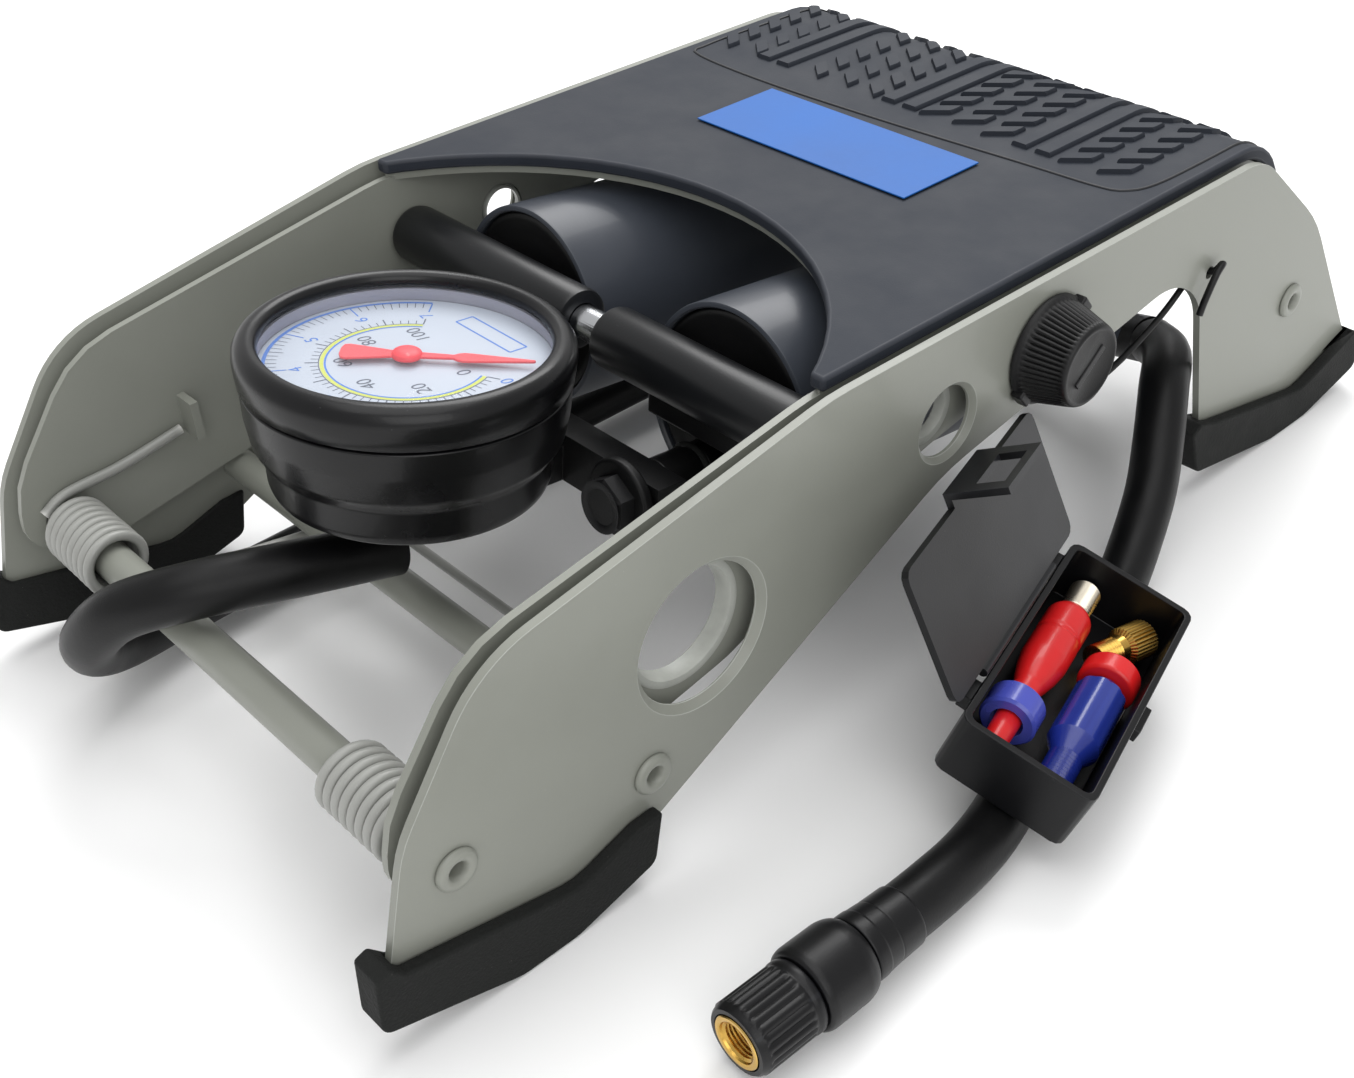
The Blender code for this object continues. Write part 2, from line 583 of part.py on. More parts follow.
def gauge():
    """Gauge body, screwed-on bezel, dial, window and a needle that turns on its own pin."""
    at = (0, GAUGE_Y, GAUGE_BASE_Z)
    rim = GAUGE_RADIUS
    seat = rim - 5.0
    face = rim - 4.5
    finish("gauge_body", lathe([(0, 0), (rim - 6.5, 0), (rim - 5.2, 1.2), (rim - 4.6, 9), (rim - 2.2, 12),
                                (rim - 0.9, SPLIT - GAP), (seat, SPLIT - GAP), (seat, DIAL_Z - GAP),
                                (0, DIAL_Z - GAP)], 48), GLOSS_PLASTIC, BARRELS, at)
    finish("gauge_bezel", lathe([(rim - 4.2, SPLIT), (rim - 0.6, SPLIT), (rim, SPLIT + 5), (rim - 0.6, SPLIT + 8),
                                 (rim - 2.4, GAUGE_HEIGHT - 0.4), (rim - 4.0, GAUGE_HEIGHT),
                                 (rim - 5.2, GAUGE_HEIGHT - 0.8), (rim - 5.4, GAUGE_HEIGHT - 2.2),
                                 (rim - 4.2, GAUGE_HEIGHT - 2.4)], 48, closed=True), GLOSS_PLASTIC, BARRELS, at)
    finish("gauge_dial", lathe(rod(face, DIAL_Z, DIAL_Z + 0.6), 48), DIAL, BARRELS, at)
    finish("gauge_lens", lathe(rod(face, LENS_Z, LENS_Z + 0.8), 48), LENS, BARRELS, at)
    low = DIAL_Z + 0.6 + GAP
    top = LENS_Z - GAP
    dome = [(0, low), (1.4, low), (1.4, low + 0.5), (3.2, low + 0.7), (3.0, top - 0.7), (0, top)]
    hub = finish("gauge_needle", lathe(dome, 20), NEEDLE, NEEDLE_PIVOT)
    blade = prism([(-13, -3.2), (-12.4, 3.2), (-2, 1.2), (9.5, 0.8), (11, 1.8), (26.5, 0.3), (26.5, -0.3),
                   (11, -1.8), (9.5, -0.8), (-2, -1.2)], low + 0.8, low + 1.4, "z")
    boolean(hub, finish("join_blade", blade, None, NEEDLE_PIVOT, cutter=True), "UNION")


RODS = empty("rod_slide", (0, 0, 0), BARRELS)
AXLES_APART = Matrix.Rotation(-BARREL_TILT, 2) @ Vector((REAR_AXLE[0] - CROSS_AXLE[0],
                                                         REAR_AXLE[1] - CROSS_AXLE[1]))
EYE_AT = tuple(AXLES_APART)
ROD_END = EYE_AT[0] - EYE_INNER - 1.2
NEEDLE_PIVOT = empty("needle_pivot", (0, GAUGE_Y, GAUGE_BASE_Z), BARRELS, (0, 0, NEEDLE_TURN))


# ---------------------------------------------------------------- lock knob and tie
def lock():
    """Quarter-turn lock: a ribbed knob outside, and a flat key through the panel and the pedal wall's keyhole."""
    pivot = empty("lock_pivot", (0, *LOCK), PUMP)
    face = PANEL_OUT + GAP
    tip = face + KNOB_LENGTH
    knob = finish("lock_knob", lathe([(0, face), (KNOB_RADIUS + 0.6, face), (KNOB_RADIUS + 0.8, face + 1.4),
                                      (KNOB_RADIUS, face + 2.0), (9.9, tip - 1.0), (9.2, tip), (0, tip)], 40,
                                     "x"), PLASTIC, pivot)
    shaft = lathe(rod(3.0, PANEL_IN - 1.5, face + 2), 20, "x")
    boolean(knob, finish("join_shaft", shaft, None, pivot, cutter=True), "UNION")
    key = block((WALL_IN - 2.0, -2.0, -4.2), (PANEL_IN - 1.0, 2.0, 4.2))
    boolean(knob, finish("join_key", key, None, pivot, cutter=True), "UNION")
    for k in (-1, 1):
        lug = block((face, -2.2, k * 11 - 2.6), (face + 3.2, 2.2, k * 11 + 2.6))
        boolean(knob, finish(f"join_grip_{k + 1}", lug, None, pivot, (0, 0, 0), (LUG_TURN, 0, 0), cutter=True),
                "UNION")


# ---------------------------------------------------------------- hose, chuck and accessory box
HOSE_HELD = [
    (0, 66.0, 40.9), (-1, 55.0, 43.5), (-3, 40, 46.8), (-10, 22, 47.6), (-21, 11, 42.2), (-32, 6.6, 31),
    (-41, 10, 20.5), (-49, 20, 12.5), (-54, 42, 9.5), (-56, 80, 8.6), (-56, 140, 8.6), (-56, 200, 8.6), (-50, 240, 9),
    (-32, 266, 11.5), (-6, 277, 17), (22, 277.5, 24), (44, 274, 30.6), (60, 265, 35),
]
HOSE_FREE = [
    (60.8, 264.5, 35.2), (69.5, 257.4, 37.4), (77, 245.4, 36.0), (84, 234.5, 29), (89.5, 225, 20), (95, 211, 11),
    (100, 197, HOSE_Z + 0.5), (106, 180, HOSE_Z), (113, 160, HOSE_Z), (119.5, 140, HOSE_Z),
    (125, 122, HOSE_Z), (127.3, 110, HOSE_Z + 0.5), (128.6, 98, HOSE_Z + 2.0), (129.13, 86.3, HOSE_Z + 3.0),
]
CHUCK_AT = (129.1, 84.6, HOSE_Z + 3.0)
CHUCK_TURN = math.radians(-1.5)
HEAD_AT = -24.1                   # where the turning head starts, along the chuck


def hoses():
    wire("hose_held", smooth_route(HOSE_HELD, 14.0), HOSE_RADIUS, HOSE, PUMP, resolution=3)
    wire("hose_free", smooth_route(HOSE_FREE, 10.0), HOSE_RADIUS, HOSE, PUMP, resolution=3)


def chuck():
    """Strain-relief sleeve, collar, ribbed screw-on head that turns on the collar, and its brass thread."""
    at = empty("chuck_frame", CHUCK_AT, PUMP, (0, 0, CHUCK_TURN))
    finish("chuck_sleeve", lathe([(0, -9.7), (7.1, -9.7), (7.2, -8.6), (6.8, -1), (6.5, -GAP), (0, -GAP)],
                                 28, "y"), RUBBER, at)
    finish("chuck_collar", lathe([(0, -23.8), (8.0, -23.8), (8.7, -23), (8.8, -12.6), (8.2, -11.2), (7.3, -10),
                                  (0, -10)], 32, "y"), PLASTIC, at)
    head = empty("chuck_pivot", (0, HEAD_AT, 0), at)
    finish("chuck_head", lathe([(5.9, -15.6), (6.9, -15.6), (7.4, -14.6), (7.7, -6), (7.6, -2), (7.8, 0), (5.9, 0)],
                               32, "y", True), PLASTIC, head)
    finish("chuck_thread", lathe([(0, -3.5), (3.9, -3.5), (3.9, -15.9), (5.6, -15.9), (5.6, -0.4), (0, -0.4)],
                                 24, "y"), BRASS, head)


def accessory_box():
    frame = empty("box_frame", BOX_AT, PUMP, (0, BOX_ROLL, BOX_TURN))
    w, l, h, t = BOX_WIDTH / 2, BOX_LENGTH / 2, BOX_HEIGHT, BOX_WALL
    tray = finish("accessory_box", prism(rounded([(-w, -l, 2.5), (w, -l, 2.5), (w, l, 2.5), (-w, l, 2.5)], 30),
                                         0, h, "z"), PLASTIC, frame)
    hollow = prism(rounded([(-w + t, -l + t, 1.5), (w - t, -l + t, 1.5), (w - t, l - t, 1.5), (-w + t, l - t, 1.5)], 30),
                   t, h + 5, "z")
    boolean(tray, finish("cut_tray", hollow, None, frame, cutter=True))
    nub = block((w - 0.5, -4, h - 8), (w + 2.0, 4, h - 4.5))
    boolean(tray, finish("join_nub", nub, None, frame, cutter=True), "UNION")
    hinge_at = (-w - 1.2, 0, h + 1.0)
    for k in (-1, 1):
        knuckle = block((-w - 2.4, k * 24 - 3, h - 4), (-w + 0.8, k * 24 + 3, h - GAP))
        boolean(tray, finish(f"join_knuckle_{k + 1}", knuckle, None, frame, cutter=True), "UNION")
    lid_pivot = empty("lid_pivot", hinge_at, frame, (0, -LID_OPEN, 0))
    lid = finish("box_lid", prism(rounded([(1.0, -l, 2.5), (BOX_WIDTH + 1.6, -l, 2.5), (BOX_WIDTH + 1.6, l, 2.5),
                                           (1.0, l, 2.5)], 30), -0.5, 1.1, "z"), PLASTIC, lid_pivot)
    barrel_pin = lathe(rod(1.1, -20, 20), 16, "y")
    boolean(lid, finish("join_hinge_pin", barrel_pin, None, lid_pivot, cutter=True), "UNION")
    web = block((0, -20, -0.5), (2, 20, 1.0))
    boolean(lid, finish("join_hinge_web", web, None, lid_pivot, cutter=True), "UNION")
    # the latch tab hangs clear of the nub it closes over, and its slot frames the nub
    root = block((BOX_WIDTH + 1.0, -9, -0.5), (BOX_WIDTH + 5.1, 9, 1.1))
    boolean(lid, finish("join_tab_root", root, None, lid_pivot, cutter=True), "UNION")
    tab = block((BOX_WIDTH + 3.5, -9, -13.5), (BOX_WIDTH + 5.1, 9, 0.5))
    boolean(lid, finish("join_tab", tab, None, lid_pivot, cutter=True), "UNION")
    slot = block((BOX_WIDTH + 3.0, -6, -11.5), (BOX_WIDTH + 5.6, 6, -5.2))
    boolean(lid, finish("cut_slot", slot, None, lid_pivot, cutter=True))
    adaptors(frame)


def adaptors(frame):
    """The loose fittings lie in the tray."""
    floor = BOX_WALL + GAP
    clip_r = 6.2
    red_r = 5.2
    ring_r = 6.4
    inner_at = (-BOX_WIDTH / 4 + 0.7, 0, floor + clip_r)
    outer_x = BOX_WIDTH / 4 - 0.7
    finish("adaptor_red", lathe([(0, -30), (2.4, -30), (3.2, -6), (4.6, -2), (red_r, 2), (red_r, 18), (4.2, 19.5),
                                 (0, 19.5)], 20, "y"), RED, frame, inner_at)
    finish("adaptor_silver_thread", lathe([(0, 19.8), (3.6, 19.8), (3.6, 29.4), (3.0, 30.4), (0, 30.4)], 20, "y"),
           BRIGHT, frame, inner_at)
    blue_r = 5.6
    finish("adaptor_blue", lathe([(0, -30), (3.6, -30), (3.8, -17), (blue_r, -14), (blue_r, 3), (4.4, 4.5),
                                  (0, 4.5)], 20, "y"), BLUE, frame, (outer_x, 0, floor + blue_r))
    finish("adaptor_red_ring", lathe(rod(ring_r, 4.8, 10.4, 0.6), 20, "y"), RED, frame,
           (outer_x, 0, floor + ring_r))
    brass_r = 4.4
    finish("adaptor_brass", lathe([(0, -8.5), (3.2, -8.5), (3.2, 0), (brass_r, 1), (brass_r, 7.6), (3.6, 8.5),
                                   (0, 8.5)], 20, "y"), BRASS, frame, (5.7, 21.2, floor + brass_r),
           (0, 0, math.radians(-25)))
    finish("adaptor_clip", lathe(tube(3.6, clip_r, -3.4, 3.4), 20, "y", True), BLUE, frame,
           (inner_at[0], -16, inner_at[2]))


def tie():
    """A thin strap through the panel that keeps the hose up."""
    marks = [(WALL_OUT + 2.0, *TIE_HOLE), (PANEL_OUT + 1.4, TIE_HOLE[0], TIE_HOLE[1]),
             (PANEL_OUT + 1.6, TIE_HOLE[0] - 3, TIE_HOLE[1] - 6)]
    wire("hose_tie", smooth_route(marks, 2.0), 0.9, PLASTIC, PUMP)


base()
spring()
pedal()
for side_name, side_sign in SIDE.items():
    barrel(side_name, side_sign)
    piston(side_name, side_sign)
manifold()
gauge()
lock()
hoses()
chuck()
accessory_box()
tie()
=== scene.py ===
"""Looks of the double-barrel foot air pump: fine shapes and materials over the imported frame.

Lengths are in millimetres in the pump's own frame (X across, Y from the hinge end to the rear, Z up), and
become metres in the row frame through the matrices below.
"""

import json
import math

import bmesh
import bpy
from mathutils import Matrix, Vector


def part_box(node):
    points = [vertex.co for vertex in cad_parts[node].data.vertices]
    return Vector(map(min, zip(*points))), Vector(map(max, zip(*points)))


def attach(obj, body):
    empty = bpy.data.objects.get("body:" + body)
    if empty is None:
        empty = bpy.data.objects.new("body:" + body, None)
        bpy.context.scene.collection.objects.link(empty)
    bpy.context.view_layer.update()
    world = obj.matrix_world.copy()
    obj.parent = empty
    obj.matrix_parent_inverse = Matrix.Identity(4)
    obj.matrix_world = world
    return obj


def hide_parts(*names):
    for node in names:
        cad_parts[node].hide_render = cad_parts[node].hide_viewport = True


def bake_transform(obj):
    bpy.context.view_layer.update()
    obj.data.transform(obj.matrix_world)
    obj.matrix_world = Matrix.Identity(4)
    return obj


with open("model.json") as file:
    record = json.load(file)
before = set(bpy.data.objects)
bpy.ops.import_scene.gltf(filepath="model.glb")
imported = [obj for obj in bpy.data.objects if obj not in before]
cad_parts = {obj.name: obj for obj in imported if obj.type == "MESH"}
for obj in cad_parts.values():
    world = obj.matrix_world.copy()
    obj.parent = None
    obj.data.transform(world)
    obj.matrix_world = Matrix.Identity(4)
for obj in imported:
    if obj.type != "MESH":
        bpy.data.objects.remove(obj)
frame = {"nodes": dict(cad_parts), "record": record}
NODES = frame["nodes"]
JOINTS = {j["name"]: j for j in frame["record"]["behaviour"]["joints"]}
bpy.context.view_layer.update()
MM = 0.001


# ---------------------------------------------------------------- frames
def frame_at(spot, x=(1, 0, 0), y=(0, 1, 0)):
    """A matrix from millimetres to metres, at a point in metres, with these X and Y directions."""
    x, y = Vector(x).normalized(), Vector(y).normalized()
    z = x.cross(y).normalized()
    turn = Matrix((x, y, z)).transposed().to_4x4()
    return Matrix.Translation(Vector(spot)) @ turn @ Matrix.Scale(MM, 4)


def middle(node):
    """The middle of a node's box, in metres."""
    low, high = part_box(node)
    return (low + high) / 2


HINGE_Y, HINGE_Z = 21.9, 34.7
PUMP = frame_at(middle("hinge_axle") - Vector((0, HINGE_Y, HINGE_Z)) * MM)
BARRELS = frame_at(middle("cross_axle"), y=JOINTS["piston_slide"]["axis"])
GAUGE_Y, GAUGE_BASE = -52.0, -20.5
GAUGE = BARRELS @ Matrix.Translation((0, GAUGE_Y, GAUGE_BASE))
NEEDLE_TURN = math.radians(46)
NEEDLE = GAUGE @ Matrix.Rotation(NEEDLE_TURN, 4, "Z")
LOCK = frame_at((PUMP.translation.x, *JOINTS["lock_turn"]["pos_m"][1:]))
CHUCK_AXIS = Vector(JOINTS["chuck_turn"]["axis"])
CHUCK = frame_at(JOINTS["chuck_turn"]["pos_m"], x=CHUCK_AXIS.cross((0, 0, 1)), y=CHUCK_AXIS)
LUG_TURN = math.radians(-51)
HEAD_GAP = 24.1                   # from the hose's end to the turning head
LID_AXIS = Vector(JOINTS["lid_hinge"]["axis"])
BOX_ROLL = math.radians(20)
BOX_WIDTH = 30.4
LID_HINGE = (-BOX_WIDTH / 2 - 1.2, 0, 17.0)      # in the box's own frame
BOX = (frame_at(JOINTS["lid_hinge"]["pos_m"], x=LID_AXIS.cross((0, 0, 1)), y=LID_AXIS)
       @ Matrix.Rotation(BOX_ROLL, 4, "Y") @ Matrix.Translation(-Vector(LID_HINGE)))


# ---------------------------------------------------------------- camera
CAMERA_AT = Vector((262.0, -82.21, 257.69))
CAMERA_RIGHT = Vector((0.67843886, 0.73391805, -0.03293945))
CAMERA_UP = Vector((-0.41866082, 0.42307855, 0.80357182))
LENS = 44.2
SENSOR = 36
NEAREST_SEEN = 0.01               # metres


def camera():
    """The camera at the photo's angle."""
    made = bpy.data.objects.new("camera", bpy.data.cameras.new("camera"))
    bpy.context.collection.objects.link(made)
    axes = Matrix((CAMERA_RIGHT, CAMERA_UP, CAMERA_RIGHT.cross(CAMERA_UP)))
    made.matrix_world = Matrix.Translation(PUMP @ CAMERA_AT) @ axes.transposed().to_4x4()
    made.data.lens = LENS
    made.data.sensor_width = SENSOR
    made.data.clip_start = NEAREST_SEEN
    bpy.context.scene.camera = made


camera()


# ---------------------------------------------------------------- materials
PLASTIC_IOR = 1.45


def linear(channel):
    """A screen colour channel of 0 to 255 as linear light."""
    value = channel / 255
    return value / 12.92 if value <= 0.04045 else ((value + 0.055) / 1.055) ** 2.4


def tint(rgb, factor=1.0):
    """A screen colour as the shader takes it, made lighter or darker by the factor."""
    return (*[min(1.0, linear(c) * factor) for c in rgb], 1)


def surface(name, rgb, rough=0.5, swing=0.08, metal=0.0, tone=0.08, blotch=35, grain=1800, bump=0.12,
            depth=0.00012, wear=None, dust=None, coat=0.0, specular=0.5, see_through=0.0,
            ridges=None):
    """A procedural finish: tone and roughness vary slowly, a fine grain lifts the surface, edges wear lighter
    and specks of dust lie on it. ridges is (scale, depth) of fine moulded or turned lines."""
    made = bpy.data.materials.new(name)
    made.use_nodes = True
    nodes, links = made.node_tree.nodes, made.node_tree.links
    shader = nodes["Principled BSDF"]
    place = nodes.new("ShaderNodeTexCoord").outputs["Object"]

    def noise(scale, detail=4.0, roughness=0.55):
        made_noise = nodes.new("ShaderNodeTexNoise")
        made_noise.inputs["Scale"].default_value = scale
        made_noise.inputs["Detail"].default_value = detail
        made_noise.inputs["Roughness"].default_value = roughness
        links.new(place, made_noise.inputs["Vector"])
        return made_noise.outputs["Fac"]

    def ranged(value, low, high, to_low, to_high):
        node = nodes.new("ShaderNodeMapRange")
        node.inputs["From Min"].default_value = low
        node.inputs["From Max"].default_value = high
        node.inputs["To Min"].default_value = to_low
        node.inputs["To Max"].default_value = to_high
        links.new(value, node.inputs["Value"])
        return node.outputs["Result"]

    def mix(factor, one, two):
        node = nodes.new("ShaderNodeMix")
        node.data_type = "RGBA"
        links.new(factor, node.inputs["Factor"])
        for socket, value in ((node.inputs["A"], one), (node.inputs["B"], two)):
            if isinstance(value, tuple):
                socket.default_value = value
            else:
                links.new(value, socket)
        return node.outputs["Result"]

    slow, fine = noise(blotch), noise(grain, 2.0)
    colour = mix(ranged(slow, 0.3, 0.7, 0, 1), tint(rgb, 1 - tone), tint(rgb, 1 + tone))
    colour = mix(ranged(fine, 0.35, 0.75, 0, tone), colour, tint(rgb, 1 + 3 * tone))
    if wear:
        edge = nodes.new("ShaderNodeNewGeometry").outputs["Pointiness"]
        colour = mix(ranged(edge, 0.53, 0.62, 0, 0.6), colour, tint(wear))
    if dust:
        colour = mix(ranged(noise(1100, 3.0, 0.7), 0.72, 0.78, 0, 0.55), colour, tint(dust))
    links.new(colour, shader.inputs["Base Color"])
    links.new(ranged(slow, 0.25, 0.75, max(0.02, rough - swing), min(1, rough + swing)),
              shader.inputs["Roughness"])
    raised = nodes.new("ShaderNodeBump")
    raised.inputs["Strength"].default_value = bump
    raised.inputs["Distance"].default_value = depth
    links.new(fine, raised.inputs["Height"])
    last = raised
    if ridges:
        wave = nodes.new("ShaderNodeTexWave")
        wave.bands_direction = "Y"
        wave.inputs["Scale"].default_value = ridges[0]
        links.new(place, wave.inputs["Vector"])
        lines = nodes.new("ShaderNodeBump")
        lines.inputs["Strength"].default_value = 0.5
        lines.inputs["Distance"].default_value = ridges[1]
        links.new(wave.outputs["Fac"], lines.inputs["Height"])
        links.new(raised.outputs["Normal"], lines.inputs["Normal"])
        last = lines
    links.new(last.outputs["Normal"], shader.inputs["Normal"])
    shader.inputs["Metallic"].default_value = metal
    shader.inputs["Specular IOR Level"].default_value = specular
    shader.inputs["Coat Weight"].default_value = coat
    shader.inputs["Transmission Weight"].default_value = see_through
    shader.inputs["IOR"].default_value = PLASTIC_IOR
    return made


PAINT = surface("grey paint", (134, 136, 128), 0.40, 0.06, tone=0.035, grain=900, bump=0.10,
                dust=(162, 162, 158), coat=0.1)
# Lighter paint on every rounded edge: partly edge wear, partly a painted highlight along the edges.
PAINT_EDGE_WEAR_AND_HIGHLIGHT = surface("worn paint edge with painted highlight", (158, 160, 154), 0.42, 0.08, tone=0.1, blotch=160, grain=900,
                     bump=0.1, dust=(176, 176, 172))
SPRING_PAINT = surface("spring paint", (134, 135, 131), 0.38, 0.08, tone=0.05, wear=(215, 215, 210), coat=0.2)
RUBBER = surface("foot rubber", (26, 27, 26), 0.78, 0.1, tone=0.25, blotch=120, grain=1400, bump=0.6,
                 depth=0.0004, dust=(120, 120, 116), specular=0.25)
PAD = surface("pad rubber", (40, 44, 52), 0.62, 0.08, tone=0.07, blotch=60, grain=2600, bump=0.25,
              dust=(84, 86, 92), specular=0.28)
PAD_RIM = surface("rubbed pad rim", (50, 53, 60), 0.55, 0.08, tone=0.12, blotch=120, grain=2600, bump=0.2,
                  specular=0.3)
PAD_EDGE = surface("pad edge rubber", (34, 35, 38), 0.5, 0.08, tone=0.1, specular=0.45)
PLASTIC = surface("black plastic", (12, 12, 13), 0.42, 0.08, tone=0.2, grain=2400, bump=0.3,
                  wear=(34, 34, 36), dust=(70, 70, 70), specular=0.35)
SATIN = surface("satin black plastic", (10, 10, 12), 0.36, 0.06, tone=0.2, grain=3000, bump=0.18,
                wear=(28, 29, 33), dust=(90, 90, 92), specular=0.35)
GAUGE_BLACK = surface("gauge moulding", (8, 8, 10), 0.3, 0.05, tone=0.2, grain=2600, bump=0.22,
                      wear=(28, 30, 36), dust=(130, 130, 134), coat=0.08, specular=0.35)
HOSE = surface("hose rubber", (9, 9, 10), 0.42, 0.07, tone=0.2, blotch=80, grain=2000, bump=0.25,
               wear=(22, 22, 25), dust=(60, 60, 62), specular=0.3)
SLEEVE = surface("hinge sleeve plastic", (16, 17, 19), 0.34, 0.05, tone=0.15, grain=2000, bump=0.15,
                 wear=(40, 42, 46), dust=(84, 84, 86), specular=0.4)
BARREL = surface("barrel paint", (50, 54, 62), 0.36, 0.05, tone=0.08, grain=1200, bump=0.1,
                 wear=(96, 100, 106), dust=(110, 112, 116), coat=0.06, specular=0.4)
BRIGHT = surface("bright steel", (205, 207, 210), 0.22, 0.08, metal=1.0, tone=0.05, ridges=(900, 0.00003))
ROD = surface("rod steel", (190, 192, 196), 0.25, 0.08, metal=1.0, tone=0.05)
BRASS = surface("brass", (205, 165, 84), 0.3, 0.1, metal=1.0, tone=0.12, wear=(238, 210, 140))
SILVER = surface("silver thread", (206, 198, 182), 0.26, 0.08, metal=1.0, tone=0.08, wear=(240, 236, 226))
RED = surface("red plastic", (205, 26, 28), 0.34, 0.06, tone=0.07, grain=2200, wear=(232, 78, 74), coat=0.15)
BLUE = surface("blue plastic", (30, 48, 142), 0.25, 0.06, tone=0.1, grain=2200, wear=(78, 104, 210), coat=0.3,
               see_through=0.25)
CLIP_BLUE = surface("clip plastic", (60, 72, 190), 0.25, 0.06, tone=0.08, wear=(120, 130, 230), coat=0.3,
                    see_through=0.35)
LABEL = surface("label film", (30, 92, 166), 0.45, 0.06, tone=0.09, blotch=22, grain=500, bump=0.05,
                specular=0.3)
DIAL = surface("dial print", (178, 186, 198), 0.5, 0.05, tone=0.02, blotch=30, bump=0.03)
WALL = surface("gauge inner wall", (146, 146, 158), 0.5, 0.06, tone=0.06)
INK_GREY = surface("grey ink", (84, 90, 104), 0.6, 0.05, tone=0.08, bump=0.03)
INK_BLUE = surface("blue ink", (66, 116, 196), 0.6, 0.05, tone=0.06, bump=0.03)
INK_LIME = surface("lime ink", (190, 198, 84), 0.6, 0.05, tone=0.06, bump=0.03)
POINTER = surface("red pointer", (232, 52, 62), 0.42, 0.05, tone=0.05, wear=(250, 120, 120))
FLOOR = surface("floor", (246, 246, 246), 0.75, 0.05, tone=0.01, blotch=2, grain=60, bump=0.02)


def window():
    """Thin clear plastic: mostly see-through, with a soft sheen."""
    made = bpy.data.materials.new("gauge window")
    made.use_nodes = True
    nodes, links = made.node_tree.nodes, made.node_tree.links
    shader = nodes["Principled BSDF"]
    noise = nodes.new("ShaderNodeTexNoise")
    noise.inputs["Scale"].default_value = 90
    links.new(nodes.new("ShaderNodeTexCoord").outputs["Object"], noise.inputs["Vector"])
    for socket, low, high in (("Roughness", 0.03, 0.09), ("Alpha", 0.02, 0.05)):
        spread = nodes.new("ShaderNodeMapRange")
        spread.inputs["To Min"].default_value = low
        spread.inputs["To Max"].default_value = high
        links.new(noise.outputs["Fac"], spread.inputs["Value"])
        links.new(spread.outputs["Result"], shader.inputs[socket])
    shader.inputs["Base Color"].default_value = tint((236, 240, 252))
    made.surface_render_method = "BLENDED"
    return made


WINDOW = window()


# ---------------------------------------------------------------- geometry helpers
BEVEL_ANGLE = math.radians(40)    # a modifier rounds edges sharper than this
CORNER_CUT = 0.6                  # the most that a profile's corner is cut back
CORNER_STEPS = 4
ROUTE_STEPS = 24                  # points between two marks of a route, before they are spaced evenly


def put(name, bm, mat, matrix, body, smooth=35, bevel=0.0, segments=2, stands_for=()):
    """Turns a bmesh in millimetres into a piece of the pump. It rides on the body, if one is named."""
    bmesh.ops.recalc_face_normals(bm, faces=bm.faces)
    bmesh.ops.transform(bm, matrix=matrix, verts=bm.verts)
    mesh = bpy.data.meshes.new(name)
    bm.to_mesh(mesh)
    bm.free()
    made = bpy.data.objects.new(name, mesh)
    bpy.context.collection.objects.link(made)
    mesh.materials.append(mat)
    mesh.shade_smooth()
    mesh.set_sharp_from_angle(angle=math.radians(smooth))
    if bevel:
        round_edges(made, bevel, segments)
    if body:
        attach(made, body)
    if stands_for:
        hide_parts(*stands_for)
    return made


def keep_flat(obj):
    """Shades flat faces flat beside their rounded edges."""
    even = obj.modifiers.new("even", "WEIGHTED_NORMAL")
    even.keep_sharp = True


def round_edges(obj, width, segments):
    edge = obj.modifiers.new("edge", "BEVEL")
    edge.width = width * MM
    edge.segments = segments
    edge.limit_method = "ANGLE"
    edge.angle_limit = BEVEL_ANGLE
    edge.harden_normals = False
    keep_flat(obj)


def lathe(profile, sides=96, axis="z", closed=False, ripple=None, centre=(0, 0, 0)):
    """Turns (radius, height) points round an axis. ripple(turn, radius, height) is added to the radius."""
    bm = bmesh.new()
    rings = []
    for radius, height in profile:
        ring = []
        for k in range(1 if radius == 0 else sides):
            turn = math.tau * k / sides
            r = radius + (ripple(turn, radius, height) if ripple and radius else 0)
            a, b = r * math.cos(turn), r * math.sin(turn)
            spot = {"z": (a, b, height), "x": (height, a, b), "y": (b, height, a)}[axis]
            ring.append(bm.verts.new(Vector(spot) + Vector(centre)))
        rings.append(ring)
    pairs = list(zip(rings, rings[1:]))
    if closed:
        pairs.append((rings[-1], rings[0]))
    for one, two in pairs:
        for k in range(sides):
            n = (k + 1) % sides
            if len(one) == 1:
                bm.faces.new((one[0], two[k], two[n]))
            elif len(two) == 1:
                bm.faces.new((one[k], one[n], two[0]))
            else:
                bm.faces.new((one[k], one[n], two[n], two[k]))
    return bm


def curve_profile(marks):
    """The profile points rounded: each corner between two marks is cut by a short Bezier arc."""
    rounded = [marks[0]]
    for before, here, after in zip(marks, marks[1:], marks[2:]):
        a, b, c = Vector(before), Vector(here), Vector(after)
        cut = min(CORNER_CUT, (a - b).length * 0.4, (c - b).length * 0.4)
        start = b + (a - b).normalized() * cut
        end = b + (c - b).normalized() * cut
        for k in range(CORNER_STEPS + 1):
            t = k / CORNER_STEPS
            rounded.append(tuple(start * (1 - t) ** 2 + b * 2 * t * (1 - t) + end * t * t))
    rounded.append(marks[-1])
    return rounded


def prism(outline, low, high):
    """An outline of (x, y) points, drawn up from low to high."""
    bm = bmesh.new()
    first = [bm.verts.new((x, y, low)) for x, y in outline]
    last = [bm.verts.new((x, y, high)) for x, y in outline]
    bm.faces.new(first)
    bm.faces.new(last)
    for i in range(len(outline)):
        k = (i + 1) % len(outline)
        bm.faces.new((first[i], first[k], last[k], last[i]))
    return bm


def block(low, high):
    """The box between two corners, whose edges put() rounds."""
    (x0, y0, z0), (x1, y1, z1) = low, high
    return prism([(x0, y0), (x1, y0), (x1, y1), (x0, y1)], z0, z1)


